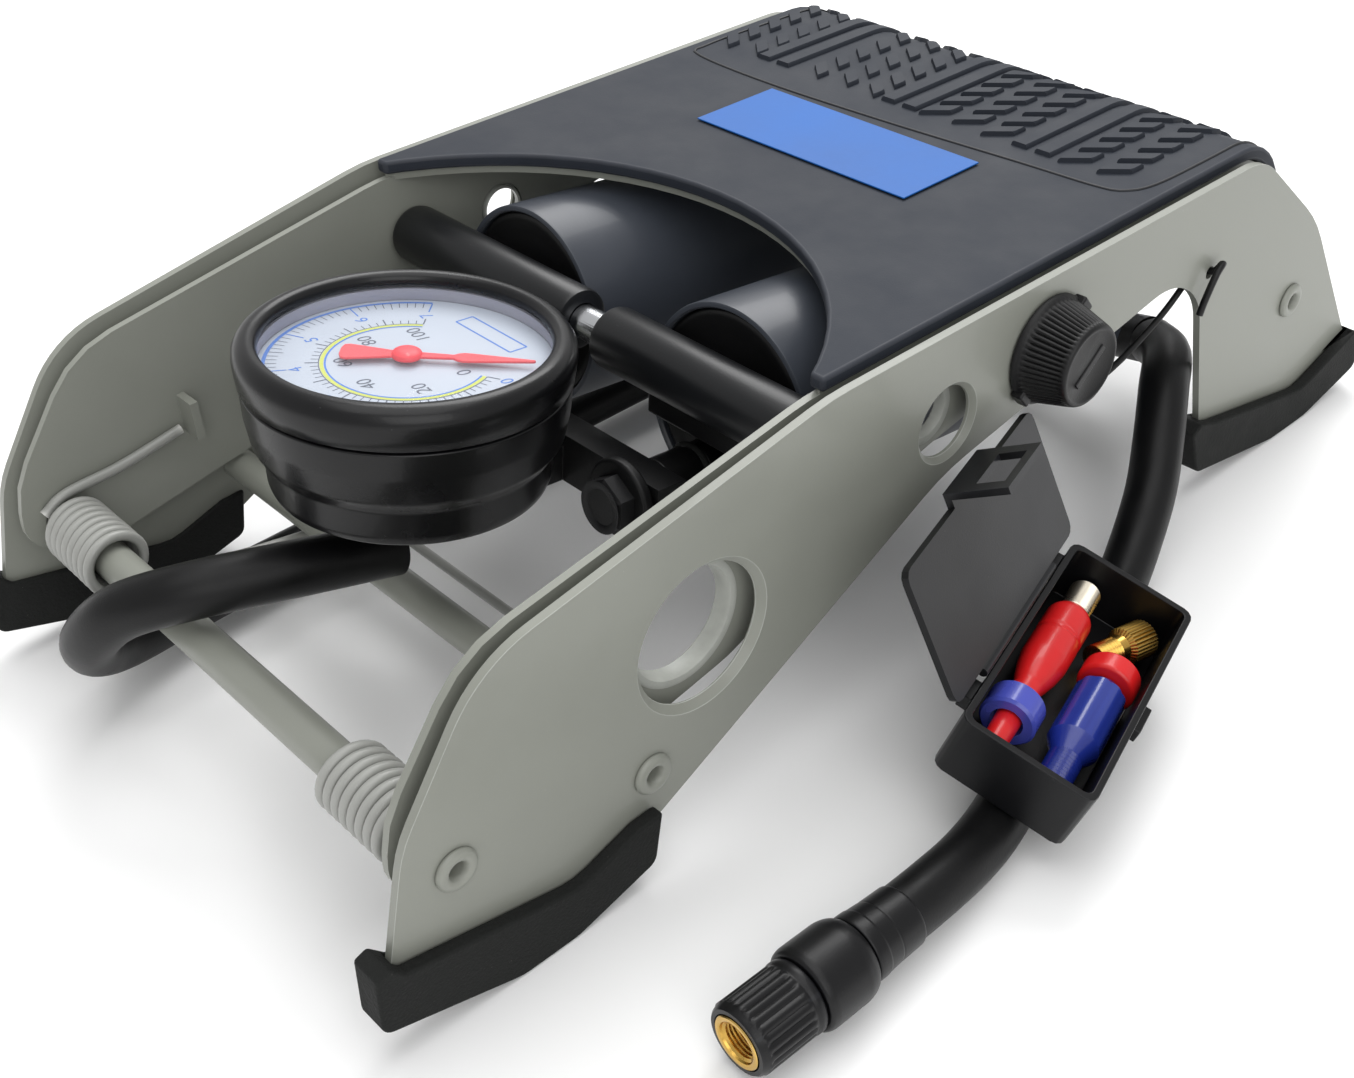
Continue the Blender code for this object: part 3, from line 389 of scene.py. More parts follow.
def smooth_route(marks, spacing):
    """Points along a Catmull-Rom curve through the marks, about one every spacing."""
    marks = [Vector(m) for m in marks]
    ends = [marks[0] * 2 - marks[1]] + marks + [marks[-1] * 2 - marks[-2]]
    fine = []
    for a, b, c, d in zip(ends, ends[1:], ends[2:], ends[3:]):
        for k in range(ROUTE_STEPS):
            t = k / ROUTE_STEPS
            fine.append(0.5 * (2 * b + (c - a) * t + (2 * a - 5 * b + 4 * c - d) * t * t
                               + (3 * b - a - 3 * c + d) * t ** 3))
    fine.append(marks[-1])
    lengths = [0.0]
    for a, b in zip(fine, fine[1:]):
        lengths.append(lengths[-1] + (b - a).length)
    count = max(2, round(lengths[-1] / spacing))
    route = []
    j = 0
    for k in range(count + 1):
        want = lengths[-1] * k / count
        while j < len(fine) - 2 and lengths[j + 1] < want:
            j += 1
        span = lengths[j + 1] - lengths[j]
        route.append(fine[j].lerp(fine[j + 1], (want - lengths[j]) / span))
    return route


def tube(name, points, radius, mat, matrix, body, resolution, stands_for=()):
    """A round tube along points, with filled ends."""
    curve = bpy.data.curves.new(name, "CURVE")
    curve.dimensions = "3D"
    curve.bevel_depth = radius * MM
    curve.bevel_resolution = resolution
    curve.use_fill_caps = True
    spline = curve.splines.new("POLY")
    spline.points.add(len(points) - 1)
    for spot, point in zip(spline.points, points):
        spot.co = (*(matrix @ Vector(point)), 1)
    spline.use_smooth = True
    made = bpy.data.objects.new(name, curve)
    bpy.context.collection.objects.link(made)
    curve.materials.append(mat)
    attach(made, body)
    if stands_for:
        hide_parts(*stands_for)
    return made


def mesh_tube(name, points, radius, mat, matrix, body, sides, stands_for):
    """A round tube made as a mesh."""
    bm = bmesh.new()
    rings = []
    side = None
    for i, point in enumerate(points):
        ahead = (points[min(i + 1, len(points) - 1)] - points[max(i - 1, 0)]).normalized()
        side = (side - ahead * side.dot(ahead) if side else ahead.orthogonal()).normalized()
        other = ahead.cross(side)
        rings.append([bm.verts.new(point + (side * math.cos(math.tau * k / sides)
                                            + other * math.sin(math.tau * k / sides)) * radius)
                      for k in range(sides)])
    for one, two in zip(rings, rings[1:]):
        for k in range(sides):
            n = (k + 1) % sides
            bm.faces.new((one[k], one[n], two[n], two[k]))
    bm.faces.new(rings[0])
    bm.faces.new(rings[-1])
    return put(name, bm, mat, matrix, body, 60, stands_for=stands_for)


# ---------------------------------------------------------------- hoses
HOSE_RADIUS = 6.2
HOSE_Z = 6.3                      # height of the centre line where the hose lies on the floor
HOSE_SPACING = 3.0
HOSE_HELD = [
    (0, 66.0, 40.9), (-1, 55.0, 43.5), (-3, 40, 46.8), (-10, 22, 47.6), (-21, 11, 42.2), (-32, 6.6, 31),
    (-41, 10, 20.5), (-49, 20, 12.5), (-54, 42, 9.5), (-56, 80, 8.6), (-56, 140, 8.6), (-56, 200, 8.6),
    (-50, 240, 9), (-32, 266, 11), (-6, 275, 15.5), (22, 274.5, 21.5), (44, 271.5, 28.4), (60, 265, 35),
]
HOSE_FREE = [
    (60.8, 264.5, 35.2), (69.5, 257.4, 37.4), (77, 245.4, 36.0), (84, 234.5, 29), (89.5, 225, 20),
    (95, 211, 11), (100, 197, HOSE_Z + 0.5), (106, 180, HOSE_Z), (113, 160, HOSE_Z), (119.5, 140, HOSE_Z),
    (125, 122, HOSE_Z), (127.3, 110, HOSE_Z + 0.5), (128.6, 98, HOSE_Z + 2.0), (129.13, 86.3, HOSE_Z + 3.0),
]


def inner_hose(part, points, body):
    return mesh_tube(f"hose_inner_{part}", points, HOSE_RADIUS, HOSE, PUMP, body, 32, ("hose_held",))


def hoses():
    """The free hose is one cord. The inner one is three tubes: the front one runs from the barrels to the
    pedal, the next from the pedal to the base, and the rear one rides on the base."""
    free = smooth_route(HOSE_FREE, HOSE_SPACING)
    made = tube("hose_run", free, HOSE_RADIUS, HOSE, PUMP, "base", 10, ("hose_free",))
    held = smooth_route(HOSE_HELD, HOSE_SPACING)
    turn, settled = [min(range(len(held)), key=lambda i: (held[i] - Vector(mark)).length)
                     for mark in (HOSE_HELD[6], HOSE_HELD[8])]
    front = inner_hose("front", held[:turn + 1], None)
    bending = inner_hose("bend", held[turn:settled + 1], None)
    inner_hose("rear", held[settled:], "base")
    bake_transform(front)
    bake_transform(bending)
    return made, free


# ---------------------------------------------------------------- pieces carried over from the frame
SHARP = math.radians(25)          # edges of the loaded shapes that get rounded
FLAT = math.radians(1)            # faces that meet at less than this become one
WELD = 2e-6                       # metres


def refined(node, mat, body, bevel=0.4, segments=2, edge=None):
    """The node's own shape with its edges rounded, without the normals it was loaded with. The rounded edges
    take the edge material, if there is one."""
    source = NODES[node].data
    bm = bmesh.new()
    corners = [bm.verts.new(v.co) for v in source.vertices]
    for face in source.polygons:
        bm.faces.new([corners[k] for k in face.vertices])
    bmesh.ops.remove_doubles(bm, verts=bm.verts, dist=WELD)
    bmesh.ops.dissolve_limit(bm, angle_limit=FLAT, verts=bm.verts, edges=bm.edges)
    sharp = [e for e in bm.edges if len(e.link_faces) == 2 and e.calc_face_angle() > SHARP]
    rim = bmesh.ops.bevel(bm, geom=sharp, offset=bevel * MM, segments=segments, profile=0.5, affect="EDGES",
                          clamp_overlap=True)
    if edge:
        for face in rim["faces"]:
            face.material_index = 1
    made = put(f"{node}_fine", bm, mat, Matrix.Identity(4), body, 50, stands_for=(node,))
    if edge:
        made.data.materials.append(edge)
    keep_flat(made)
    return made


SIDE = {"near": 1, "far": -1}
PANEL_OUT = 80.0
PANEL_IN = 78.0
WALL_IN = 72.2                    # inner face of the pedal frame's walls
GAP = 0.3                         # between pieces that lie on each other


def carried():
    """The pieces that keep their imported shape."""
    # The rounded edges of the panels and of the pedal frame take the lighter paint: edge wear with a painted
    # highlight.
    for label in SIDE:
        refined(f"side_panel_{label}", PAINT, "base", 0.5, 3, edge=PAINT_EDGE_WEAR_AND_HIGHLIGHT)
        refined(f"front_foot_{label}", RUBBER, "base", 0.7, 3)
        refined(f"rear_foot_{label}", RUBBER, "base", 0.7, 3)
        refined(f"rod_guide_{label}", PLASTIC, "barrels", 0.3)
        refined(f"piston_{label}", ROD, "rods", 0.3)
        refined(f"piston_cup_{label}", RUBBER, "rods", 0.3)
    refined("pedal_frame", PAINT, "pedal", 0.4, 2, edge=PAINT_EDGE_WEAR_AND_HIGHLIGHT)
    refined("pedal_pad", PAD, "pedal", 0.9, 3, edge=PAD_RIM)
    refined("pad_label", LABEL, "pedal", 0.12, 2)
    refined("manifold_bar", PLASTIC, "barrels", 0.7, 3)
    refined("accessory_box", SATIN, "base", 0.5, 3)
    refined("box_lid", SATIN, "lid", 0.35, 2)


# ---------------------------------------------------------------- axles, rivets and springs
def turned(name, marks, mat, body, matrix=PUMP, at=(0, 0, 0), axis="x", sides=72, node=None,
           closed=False, smooth=35):
    """A lathed piece from the marks of its profile, with each corner eased unless the profile is closed."""
    profile = marks if closed else curve_profile(marks)
    bm = lathe(profile, sides, axis, closed, None, at)
    return put(name, bm, mat, matrix, body, smooth, stands_for=(node,) if node else ())


def pin(radius, low, high, chamfer=0.6):
    """The profile of a pin with chamfered ends."""
    return [(0, low), (radius - chamfer, low), (radius, low + chamfer), (radius, high - chamfer),
            (radius - chamfer, high), (0, high)]


HINGE = (HINGE_Y, HINGE_Z)
BRACE = (68.8, 26.0)
CROSS_AXLE = (126.7, 71.2)
REAR_AXLE = (296.5, 42.1)
CROSS_RADIUS = 4.0
CROSS_REACH = 75.4


def axles():
    """The three axles between the panels, the pedal's cross axle, and the rivets."""
    reach = PANEL_IN - GAP
    for node, spot, radius, mat in (("hinge_axle", HINGE, 4.4, PAINT), ("front_brace", BRACE, 4.0, PAINT),
                                    ("rear_axle", REAR_AXLE, 4.0, BRIGHT)):
        turned(f"{node}_tube", pin(radius, -reach, reach, 0.3), mat, "base", at=(0, *spot), node=node)
    turned("cross_axle_pin", pin(CROSS_RADIUS, -CROSS_REACH, CROSS_REACH), BRIGHT, "pedal",
           at=(0, *CROSS_AXLE), node="cross_axle")
    for name, spot in (("hinge", HINGE), ("brace", BRACE), ("rear", REAR_AXLE)):
        for label, side in SIDE.items():
            face = PANEL_OUT + GAP
            marks = [(0, 75.0), (1.75, 75.2), (1.8, face), (2.3, face + 1.0), (3.2, face + 1.25),
                     (4.2, face + 0.95), (4.65, face + 0.3), (4.6, face - 0.2), (2.6, face - 0.2),
                     (2.6, 72.0), (0, 72.0)]
            marks = [(radius, side * height) for radius, height in marks]
            turned(f"rivet_{name}_{label}_rolled", marks, PAINT, "base", at=(0, *spot), sides=48,
                   node=f"rivet_{name}_{label}")


SPRING_WIRE = 1.25
SPRING_MEAN = 6.9
SPRING_INNER_X = 46.4
SPRING_TURNS = 8
SPRING_PITCH = 2.65
SPRING_STEPS = 32


def springs():
    """The double torsion spring, wound finely, and the two legs that push the pedal up."""
    coil = []
    for k in range(SPRING_TURNS * SPRING_STEPS + 1):
        turn = math.radians(-90) - math.tau * k / SPRING_STEPS
        coil.append(Vector((SPRING_INNER_X + SPRING_PITCH * k / SPRING_STEPS,
                            HINGE_Y + SPRING_MEAN * math.cos(turn), HINGE_Z + SPRING_MEAN * math.sin(turn))))
    drop = HINGE_Z - SPRING_MEAN
    bridge_y = BRACE[0] + 15.0
    x = SPRING_INNER_X
    marks = [(x, HINGE_Y, drop), (x - 0.4, HINGE_Y + 6, drop - 0.2), (x - 1.2, HINGE_Y + 25, 24.0),
             (x - 1.6, BRACE[0], 20.2), (x - 1.6, bridge_y - 3, 20.4), (x - 3.6, bridge_y, 20.6)]
    leg = smooth_route(marks, 1.2)
    near = list(reversed(coil)) + leg[1:]
    far = [Vector((-p.x, p.y, p.z)) for p in near]
    tube("return_spring_wire", near + list(reversed(far)), SPRING_WIRE, SPRING_PAINT, PUMP, "base", 4,
         ("return_spring",))
    top = HINGE_Z + SPRING_MEAN
    for label, side in SIDE.items():
        x = side * (WALL_IN - SPRING_WIRE - 0.5)
        marks = [(x, HINGE_Y - 5.2, top - 2.4), (x, HINGE_Y + 1, top + 0.6), (x, 37, 43.2), (x, 53.5, 46.0)]
        tube(f"spring_leg_{label}_wire", smooth_route(marks, 1.0), SPRING_WIRE, SPRING_PAINT, PUMP,
             "pedal", 4, (f"spring_leg_{label}",))


# ---------------------------------------------------------------- tread of the pad
PAD_TOP = 91.7
REAR_EDGE = 268.0
CURL = 19.7                       # radius of the pad's top where it curls down over the rear edge
CURL_END = math.radians(60)
TREAD_FRONT = 233.0
BAR_HEIGHT = 1.1
BAR_EASE = 0.45                   # how far a bar's top edges draw in
BAR_ROW = 2.5
LONG_BARS = (-52.0, -45.0, -7.0, 0.0, 35.0, 42.0)
LONG_BAR_HALF = 2.3
SLANT_BLOCKS = ((-71.5, -1, 2), (-37.5, -1, 3), (3.9, 1, 3), (47.0, 1, 2))      # first x, slant, columns
COLUMN_STEP = {2: 10.4, 3: 9.9}
SLANT_PITCH = 8.3
SLANT_WIDTH = 6.4
SLANT_RISE = 5.6
SLANT_DEPTH = 4.6


def on_pad(x, s, lift):
    """A point x across and s along the pad's top, lifted off it. Past the rear edge it follows the curl."""
    if s <= REAR_EDGE:
        return Vector((x, s, PAD_TOP + lift))
    angle = min((s - REAR_EDGE) / CURL, CURL_END)
    rest = (s - REAR_EDGE) - angle * CURL
    centre = Vector((x, REAR_EDGE, PAD_TOP - CURL))
    out = Vector((0, math.sin(angle), math.cos(angle)))
    down = Vector((0, math.cos(angle), -math.sin(angle)))
    return centre + out * (CURL + lift) + down * rest


def raised_bar(bm, corners):
    """A moulded bar over four (x, s) corners, with drafted sides and eased edges, in rows along s."""
    reach = max(s for _, s in corners) - min(s for _, s in corners)
    steps = max(2, round(reach / BAR_ROW))
    a, b, c, d = [Vector(p) for p in corners]
    middle_spot = (a + b + c + d) / 4
    rows = []
    for k in range(steps + 1):
        left, right = a.lerp(d, k / steps), b.lerp(c, k / steps)
        row = []
        for lift, inset in ((-0.3, 0.0), (BAR_HEIGHT * 0.6, 0.12), (BAR_HEIGHT, BAR_EASE)):
            for edge_point, other in ((left, right), (right, left)):
                spot = edge_point + (other - edge_point).normalized() * inset
                if k in (0, steps):
                    spot += (middle_spot - spot).normalized() * inset * 0.8
                row.append(bm.verts.new(on_pad(spot.x, spot.y, lift)))
        rows.append([row[0], row[2], row[4], row[5], row[3], row[1]])
    for one, two in zip(rows, rows[1:]):
        for i in range(5):
            bm.faces.new((one[i], one[i + 1], two[i + 1], two[i]))
    bm.faces.new(rows[0])
    bm.faces.new(rows[-1])


def tread():
    """Pairs of long bars, and blocks of short slanted bars whose slant turns at the middle pair."""
    bm = bmesh.new()
    end = REAR_EDGE + CURL * CURL_END + 3
    for x in LONG_BARS:
        left = x - LONG_BAR_HALF
        right = x + LONG_BAR_HALF
        raised_bar(bm, [(left, TREAD_FRONT), (right, TREAD_FRONT), (right, end), (left, end)])
    for start, slant, columns in SLANT_BLOCKS:
        for column in range(columns):
            left = start + column * COLUMN_STEP[columns]
            right = left + SLANT_WIDTH
            s = TREAD_FRONT - 0.8 + (column % 2) * SLANT_PITCH * 0.12
            while s + 6.2 < end:
                low = s if slant > 0 else s + SLANT_RISE
                high = s + SLANT_RISE if slant > 0 else s
                raised_bar(bm, [(left, low), (right, high), (right, high + SLANT_DEPTH),
                                (left, low + SLANT_DEPTH)])
                s += SLANT_PITCH
    put("pad_tread", bm, PAD, PUMP, "pedal", 40)


def pad_line():
    """The thin moulded line that frames the tread."""
    route = [(-70.0, 284), (-71.5, 250), (-71.5, 230), (-68, 223.5), (-40, 221.5), (0, 223), (40, 226),
             (62, 227.5), (68, 230), (71, 237), (71.8, 255), (71.8, 284)]
    points = [on_pad(p.x, p.y, 0.0) for p in smooth_route([(*r, 0) for r in route], 2.0)]
    tube("pad_moulded_line", points, 0.42, PAD_EDGE, PUMP, "pedal", 3)


# ---------------------------------------------------------------- barrels, sleeves and manifold
BARREL_X = 35.0
BARREL_RADIUS = 25.0
BARREL_WALL = 1.6
BARREL_FRONT = 8.0
BARREL_REAR = BARREL_FRONT + 118.0
BARREL_DROP = -9.4
SLEEVE_RADIUS = 7.4
BAR_FRONT = -17.0                 # front face of the manifold bar
PORT_X = 31.0
PORT_Z = -24.0


def barrels():
    """The barrels, their front caps and air ports, and the sleeves on the cross axle."""
    inner = BARREL_RADIUS - BARREL_WALL
    for label, side in SIDE.items():
        centre = (side * BARREL_X, 0, BARREL_DROP)
        body = [(inner, BARREL_FRONT + 0.5), (inner + 0.4, BARREL_FRONT), (BARREL_RADIUS - 0.5, BARREL_FRONT),
                (BARREL_RADIUS - 0.12, BARREL_FRONT + 0.15), (BARREL_RADIUS, BARREL_FRONT + 0.6),
                (BARREL_RADIUS, BARREL_REAR - 0.5), (BARREL_RADIUS - 0.4, BARREL_REAR), (inner, BARREL_REAR)]
        turned(f"barrel_{label}_shell", body, BARREL, "barrels", BARRELS, centre, "y", 128,
               node=f"barrel_{label}", closed=True)
        face = [(0, BARREL_FRONT + 1.1), (inner - 5, BARREL_FRONT + 1.0), (inner - 1.5, BARREL_FRONT + 0.7),
                (inner - GAP, BARREL_FRONT + 1.2), (inner - GAP, BARREL_FRONT + 9), (0, BARREL_FRONT + 9)]
        turned(f"barrel_cap_{label}_face", face, PLASTIC, "barrels", BARRELS, centre, "y", 96,
               node=f"barrel_cap_{label}")
        ends = (side * 5.2, side * (WALL_IN - 1.0))
        low, high = min(ends), max(ends)
        r = SLEEVE_RADIUS
        sleeve = [(CROSS_RADIUS + 0.25, low), (r - 1.2, low), (r - 0.3, low + 0.4), (r, low + 1.4),
                  (r, high - 1.4), (r - 0.3, high - 0.4), (r - 1.2, high), (CROSS_RADIUS + 0.25, high)]
        turned(f"hinge_sleeve_{label}", sleeve, SLEEVE, "barrels", BARRELS, (0, 0, 0), "x", 96, closed=True)
        x0, x1 = sorted((side * 20, side * 50))
        put(f"cap_web_{label}", block((x0, -2.0, -12.5), (x1, BARREL_FRONT + 1.0, -5.0)), PLASTIC, BARRELS,
            "barrels", bevel=0.7, segments=3)
        x = side * PORT_X
        port = [(0, -8.7), (6.0, -8.7), (6.0, 1.0), (5.2, 1.4), (5.2, 3.0), (6.0, 3.4), (6.0, 11), (0, 11)]
        turned(f"air_port_{label}", port, PLASTIC, "barrels", BARRELS, (x, 0, PORT_Z), "y", 48)
        ring = [(5.9, -0.9), (6.5, -0.6), (6.75, 0), (6.5, 0.6), (5.9, 0.9)]
        put(f"port_ring_{label}", lathe(ring, 48, "y", True, None, (x, 2.2, PORT_Z)), RUBBER, BARRELS,
            "barrels", 60)


def hexagon(turn, radius, height):
    """Pulls a circle in to a hexagon of the same corners."""
    part = (turn % (math.pi / 3)) - math.pi / 6
    return radius * (math.cos(math.pi / 6) / math.cos(part) - 1)


def bolts():
    """The hex heads, flanges and raised rims of the banjo bolts."""
    y = BAR_FRONT
    head = [(0, y - 7.5), (5.6, y - 7.5), (6.7, y - 6.8), (6.7, y - 2.9), (0, y - 2.9)]
    flange = [(0, y - 3.1), (9.0, y - 3.1), (9.6, y - 2.5), (9.6, y - 0.9), (9.1, y - 0.35), (0, y - 0.35)]
    rim = [(5.9, y - 7.5), (6.2, y - 7.9), (4.6, y - 7.9), (4.2, y - 7.5)]
    for label, side in SIDE.items():
        at = (side * PORT_X, 0, PORT_Z)
        put(f"banjo_bolt_{label}_head", lathe(head, 96, "y", False, hexagon, at), PLASTIC, BARRELS,
            "barrels", 20, stands_for=(f"banjo_bolt_{label}",))
        turned(f"banjo_flange_{label}", flange, PLASTIC, "barrels", BARRELS, at, "y", 72)
        put(f"banjo_rim_{label}", lathe(rim, 48, "y", True, None, at), PLASTIC, BARRELS, "barrels", 60)


# ---------------------------------------------------------------- gauge
RIM = 35.5
SPLIT = 24.5                      # height of the joint between body and bezel
DIAL_Z = 26.8
DIAL_TOP = DIAL_Z + 0.6
LENS_Z = 30.4
GAUGE_TOP = 34.0
SCALE_START = math.radians(29)
SCALE_SWEEP = math.radians(-255)
PRINT_LIFT = 0.04                 # arcs and numbers over the dial
MARK_LIFT = 0.045
ARC_STEPS = 120
OUTER_MARKS = 28.9                # outer ends of the outer scale's marks
INNER_MARKS = 18.2                # inner ends of the inner scale's marks
OUTER_NUMBERS = (22.6, 4.1)       # radius and size
INNER_NUMBERS = (13.0, 4.5)
BOLD_MARK = 0.34
INNER_BOLD_MARK = 0.32
FINE_MARK = 0.2
TENTHS = 70
TWOS = 50
PLATE_LINE = 0.22                 # half the width of the plain plate's outline


def dial_point(radius, share, height=0.0):
    """A point on the dial at that share of the scale, which runs clockwise."""
    turn = SCALE_START + SCALE_SWEEP * share
    return Vector((radius * math.cos(turn), radius * math.sin(turn), DIAL_TOP + height))


def printed_arc(bm, low, high):
    rows = [[bm.verts.new(dial_point(r, k / ARC_STEPS, PRINT_LIFT)) for r in (low, high)]
            for k in range(ARC_STEPS + 1)]
    for one, two in zip(rows, rows[1:]):
        bm.faces.new((one[0], one[1], two[1], two[0]))


def printed_mark(bm, low, high, share, width):
    turn = SCALE_START + SCALE_SWEEP * share
    across = Vector((-math.sin(turn), math.cos(turn), 0)) * (width / 2)
    inner = dial_point(low, share, MARK_LIFT)
    outer = dial_point(high, share, MARK_LIFT)
    corners = (inner - across, inner + across, outer + across, outer - across)
    bm.faces.new([bm.verts.new(p) for p in corners])


def printed_number(bm, text, spot, size, turn):
    """Adds a flat printed number, centred on its spot."""
    curve = bpy.data.curves.new("number", "FONT")
    curve.body = text
    curve.size = size
    curve.align_x = "CENTER"
    curve.align_y = "CENTER"
    made = bpy.data.objects.new("number", curve)
    bpy.context.collection.objects.link(made)
    bpy.context.view_layer.update()
    mesh = bpy.data.meshes.new_from_object(made.evaluated_get(bpy.context.evaluated_depsgraph_get()))
    mesh.transform(Matrix.Translation(spot) @ Matrix.Rotation(turn, 4, "Z"))
    bm.from_mesh(mesh)
    bpy.data.objects.remove(made, do_unlink=True)
    bpy.data.meshes.remove(mesh)


def dial_print():
    """Outer scale 0 to 7 in tenths, inner scale 0 to 100 in twos, arcs, numbers and a plain plate."""
    grey, blue, lime = bmesh.new(), bmesh.new(), bmesh.new()
    printed_arc(blue, OUTER_MARKS, 29.7)
    printed_arc(blue, 16.6, 17.0)
    printed_arc(lime, 17.1, 17.9)
    printed_arc(grey, 18.0, INNER_MARKS)
    upright = SCALE_START + SCALE_SWEEP / 2 - math.pi / 2
    for k in range(TENTHS + 1):
        whole = k % 10 == 0
        start = 24.6 if whole else 25.8 if k % 5 == 0 else 26.6
        printed_mark(blue if whole else grey, start, OUTER_MARKS, k / TENTHS,
                     BOLD_MARK if whole else FINE_MARK)
    for k in range(TWOS + 1):
        tenth = k % 5 == 0
        printed_mark(grey, INNER_MARKS, 20.9 if tenth else 19.8, k / TWOS,
                     INNER_BOLD_MARK if tenth else FINE_MARK)
    for bm, (radius, size), numbers in ((blue, OUTER_NUMBERS, range(8)),
                                        (grey, INNER_NUMBERS, range(0, 101, 20))):
        for number in numbers:
            spot = dial_point(radius, number / numbers[-1], PRINT_LIFT)
            printed_number(bm, str(number), spot, size, upright)
    z = DIAL_TOP + PRINT_LIFT
    corners = [Vector((x, y, z)) for x, y in ((-9.5, 19.5), (9.5, 19.5), (9.5, 24.0), (-9.5, 24.0))]
    for one, two in zip(corners, corners[1:] + corners[:1]):
        across = (two - one).cross((0, 0, 1)).normalized() * PLATE_LINE
        line = (one - across, one + across, two + across, two - across)
        blue.faces.new([blue.verts.new(p) for p in line])
    for bm, mat, name in ((grey, INK_GREY, "dial_grey_print"), (blue, INK_BLUE, "dial_blue_print"),
                          (lime, INK_LIME, "dial_lime_print")):
        put(name, bm, mat, GAUGE, "barrels", 60)


def gauge():
    """The gauge from its body up: bezel, inner wall, dial, window, print and needle."""
    body = [(0, 0), (RIM - 7.6, 0), (RIM - 5.9, 0.7), (RIM - 5.2, 2.4), (RIM - 4.6, 9.0), (RIM - 2.4, 12.0),
            (RIM - 1.3, 18.0), (RIM - 0.9, SPLIT - 0.5), (RIM - 1.4, SPLIT - 0.15), (RIM - 6, SPLIT - 0.15),
            (RIM - 6, DIAL_Z - GAP), (0, DIAL_Z - GAP)]
    turned("gauge_body_shell", body, GAUGE_BLACK, "barrels", GAUGE, axis="z", sides=160, node="gauge_body",
           smooth=50)
    lip = [(RIM - 4.2, SPLIT + 0.1), (RIM - 1.2, SPLIT + 0.1), (RIM - 0.6, SPLIT + 0.5),
           (RIM - 0.25, SPLIT + 3), (RIM, SPLIT + 5.4), (RIM - 0.15, SPLIT + 7.0), (RIM - 1.0, SPLIT + 8.4),
           (RIM - 2.0, GAUGE_TOP - 0.35), (RIM - 3.0, GAUGE_TOP), (RIM - 4.2, GAUGE_TOP - 0.1),
           (RIM - 5.0, GAUGE_TOP - 0.7),
           (RIM - 5.35, GAUGE_TOP - 1.6), (RIM - 5.4, GAUGE_TOP - 2.4), (RIM - 4.2, GAUGE_TOP - 2.5)]
    turned("gauge_bezel_ring", lip, GAUGE_BLACK, "barrels", GAUGE, axis="z", sides=160, node="gauge_bezel",
           closed=True, smooth=50)
    wall = [(RIM - 4.3, DIAL_TOP), (RIM - 4.6, DIAL_TOP), (RIM - 5.0, DIAL_TOP + 0.6),
            (RIM - 5.0, LENS_Z - 0.1), (RIM - 4.3, LENS_Z - 0.1)]
    turned("gauge_inner_wall", wall, WALL, "barrels", GAUGE, axis="z", sides=128, closed=True, smooth=50)
    for name, node, mat, low, high in (("gauge_dial_plate", "gauge_dial", DIAL, DIAL_Z, DIAL_TOP),
                                       ("gauge_window_disc", "gauge_lens", WINDOW, LENS_Z, LENS_Z + 0.8)):
        disc = [(0, low), (RIM - 4.5, low), (RIM - 4.5, high), (0, high)]
        turned(name, disc, mat, "barrels", GAUGE, axis="z", sides=96, node=node)
    dial_print()
    low = DIAL_TOP + GAP
    hub = [(0, low), (1.4, low), (1.4, low + 0.5), (3.1, low + 0.7), (3.35, low + 1.1), (3.0, low + 1.9),
           (2.0, low + 2.4), (0, low + 2.55)]
    turned("gauge_needle_hub", hub, POINTER, "needle", NEEDLE, axis="z", sides=64, node="gauge_needle",
           smooth=50)
    edge = [(-13.4, -3.0), (-13.9, -1.4), (-13.9, 1.4), (-13.4, 3.0), (-12.2, 3.3), (-3.0, 1.4), (8.0, 0.9),
            (9.6, 0.75), (10.6, 1.5), (11.8, 1.9), (13.5, 1.8), (26.5, 0.35), (26.8, 0), (26.5, -0.35),
            (13.5, -1.8), (11.8, -1.9), (10.6, -1.5), (9.6, -0.75), (8.0, -0.9), (-3.0, -1.4), (-12.2, -3.3)]
    put("gauge_needle_blade", prism(edge, low + 0.8, low + 1.4), POINTER, NEEDLE, "needle", bevel=0.15)


# ---------------------------------------------------------------- lock, chuck, box and fittings
def ribs(count, depth, low, high):
    """A ripple of ribs between two heights, fading at both."""
    def ripple(turn, radius, height):
        fade = min(1.0, max(0.0, (height - low) / 0.8), max(0.0, (high - height) / 0.8))
        wave = abs(math.sin(count * turn / 2))
        return -depth * fade * (1 - wave)
    return ripple


def flutes(count, depth, low, high, least=0.0):
    """A ripple of even flutes between two heights, on the points farther out than least."""
    def ripple(turn, radius, height):
        inside = low < height < high and radius > least
        return -depth * (1 - abs(math.sin(count * turn / 2))) if inside else 0
    return ripple


KNOB_RADIUS = 12.0
KNOB_LENGTH = 11.9
KNOB_TAPER = 0.135                # for each step of KNOB_STEP along the knob
KNOB_STEP = 0.5
KNOB_RIBS = 56
LUG_AT = 11.2
LUG_HALF = 2.2
CHUCK_RIBS = 24
THREAD_PITCH = 0.8
THREAD_TURNS = 15


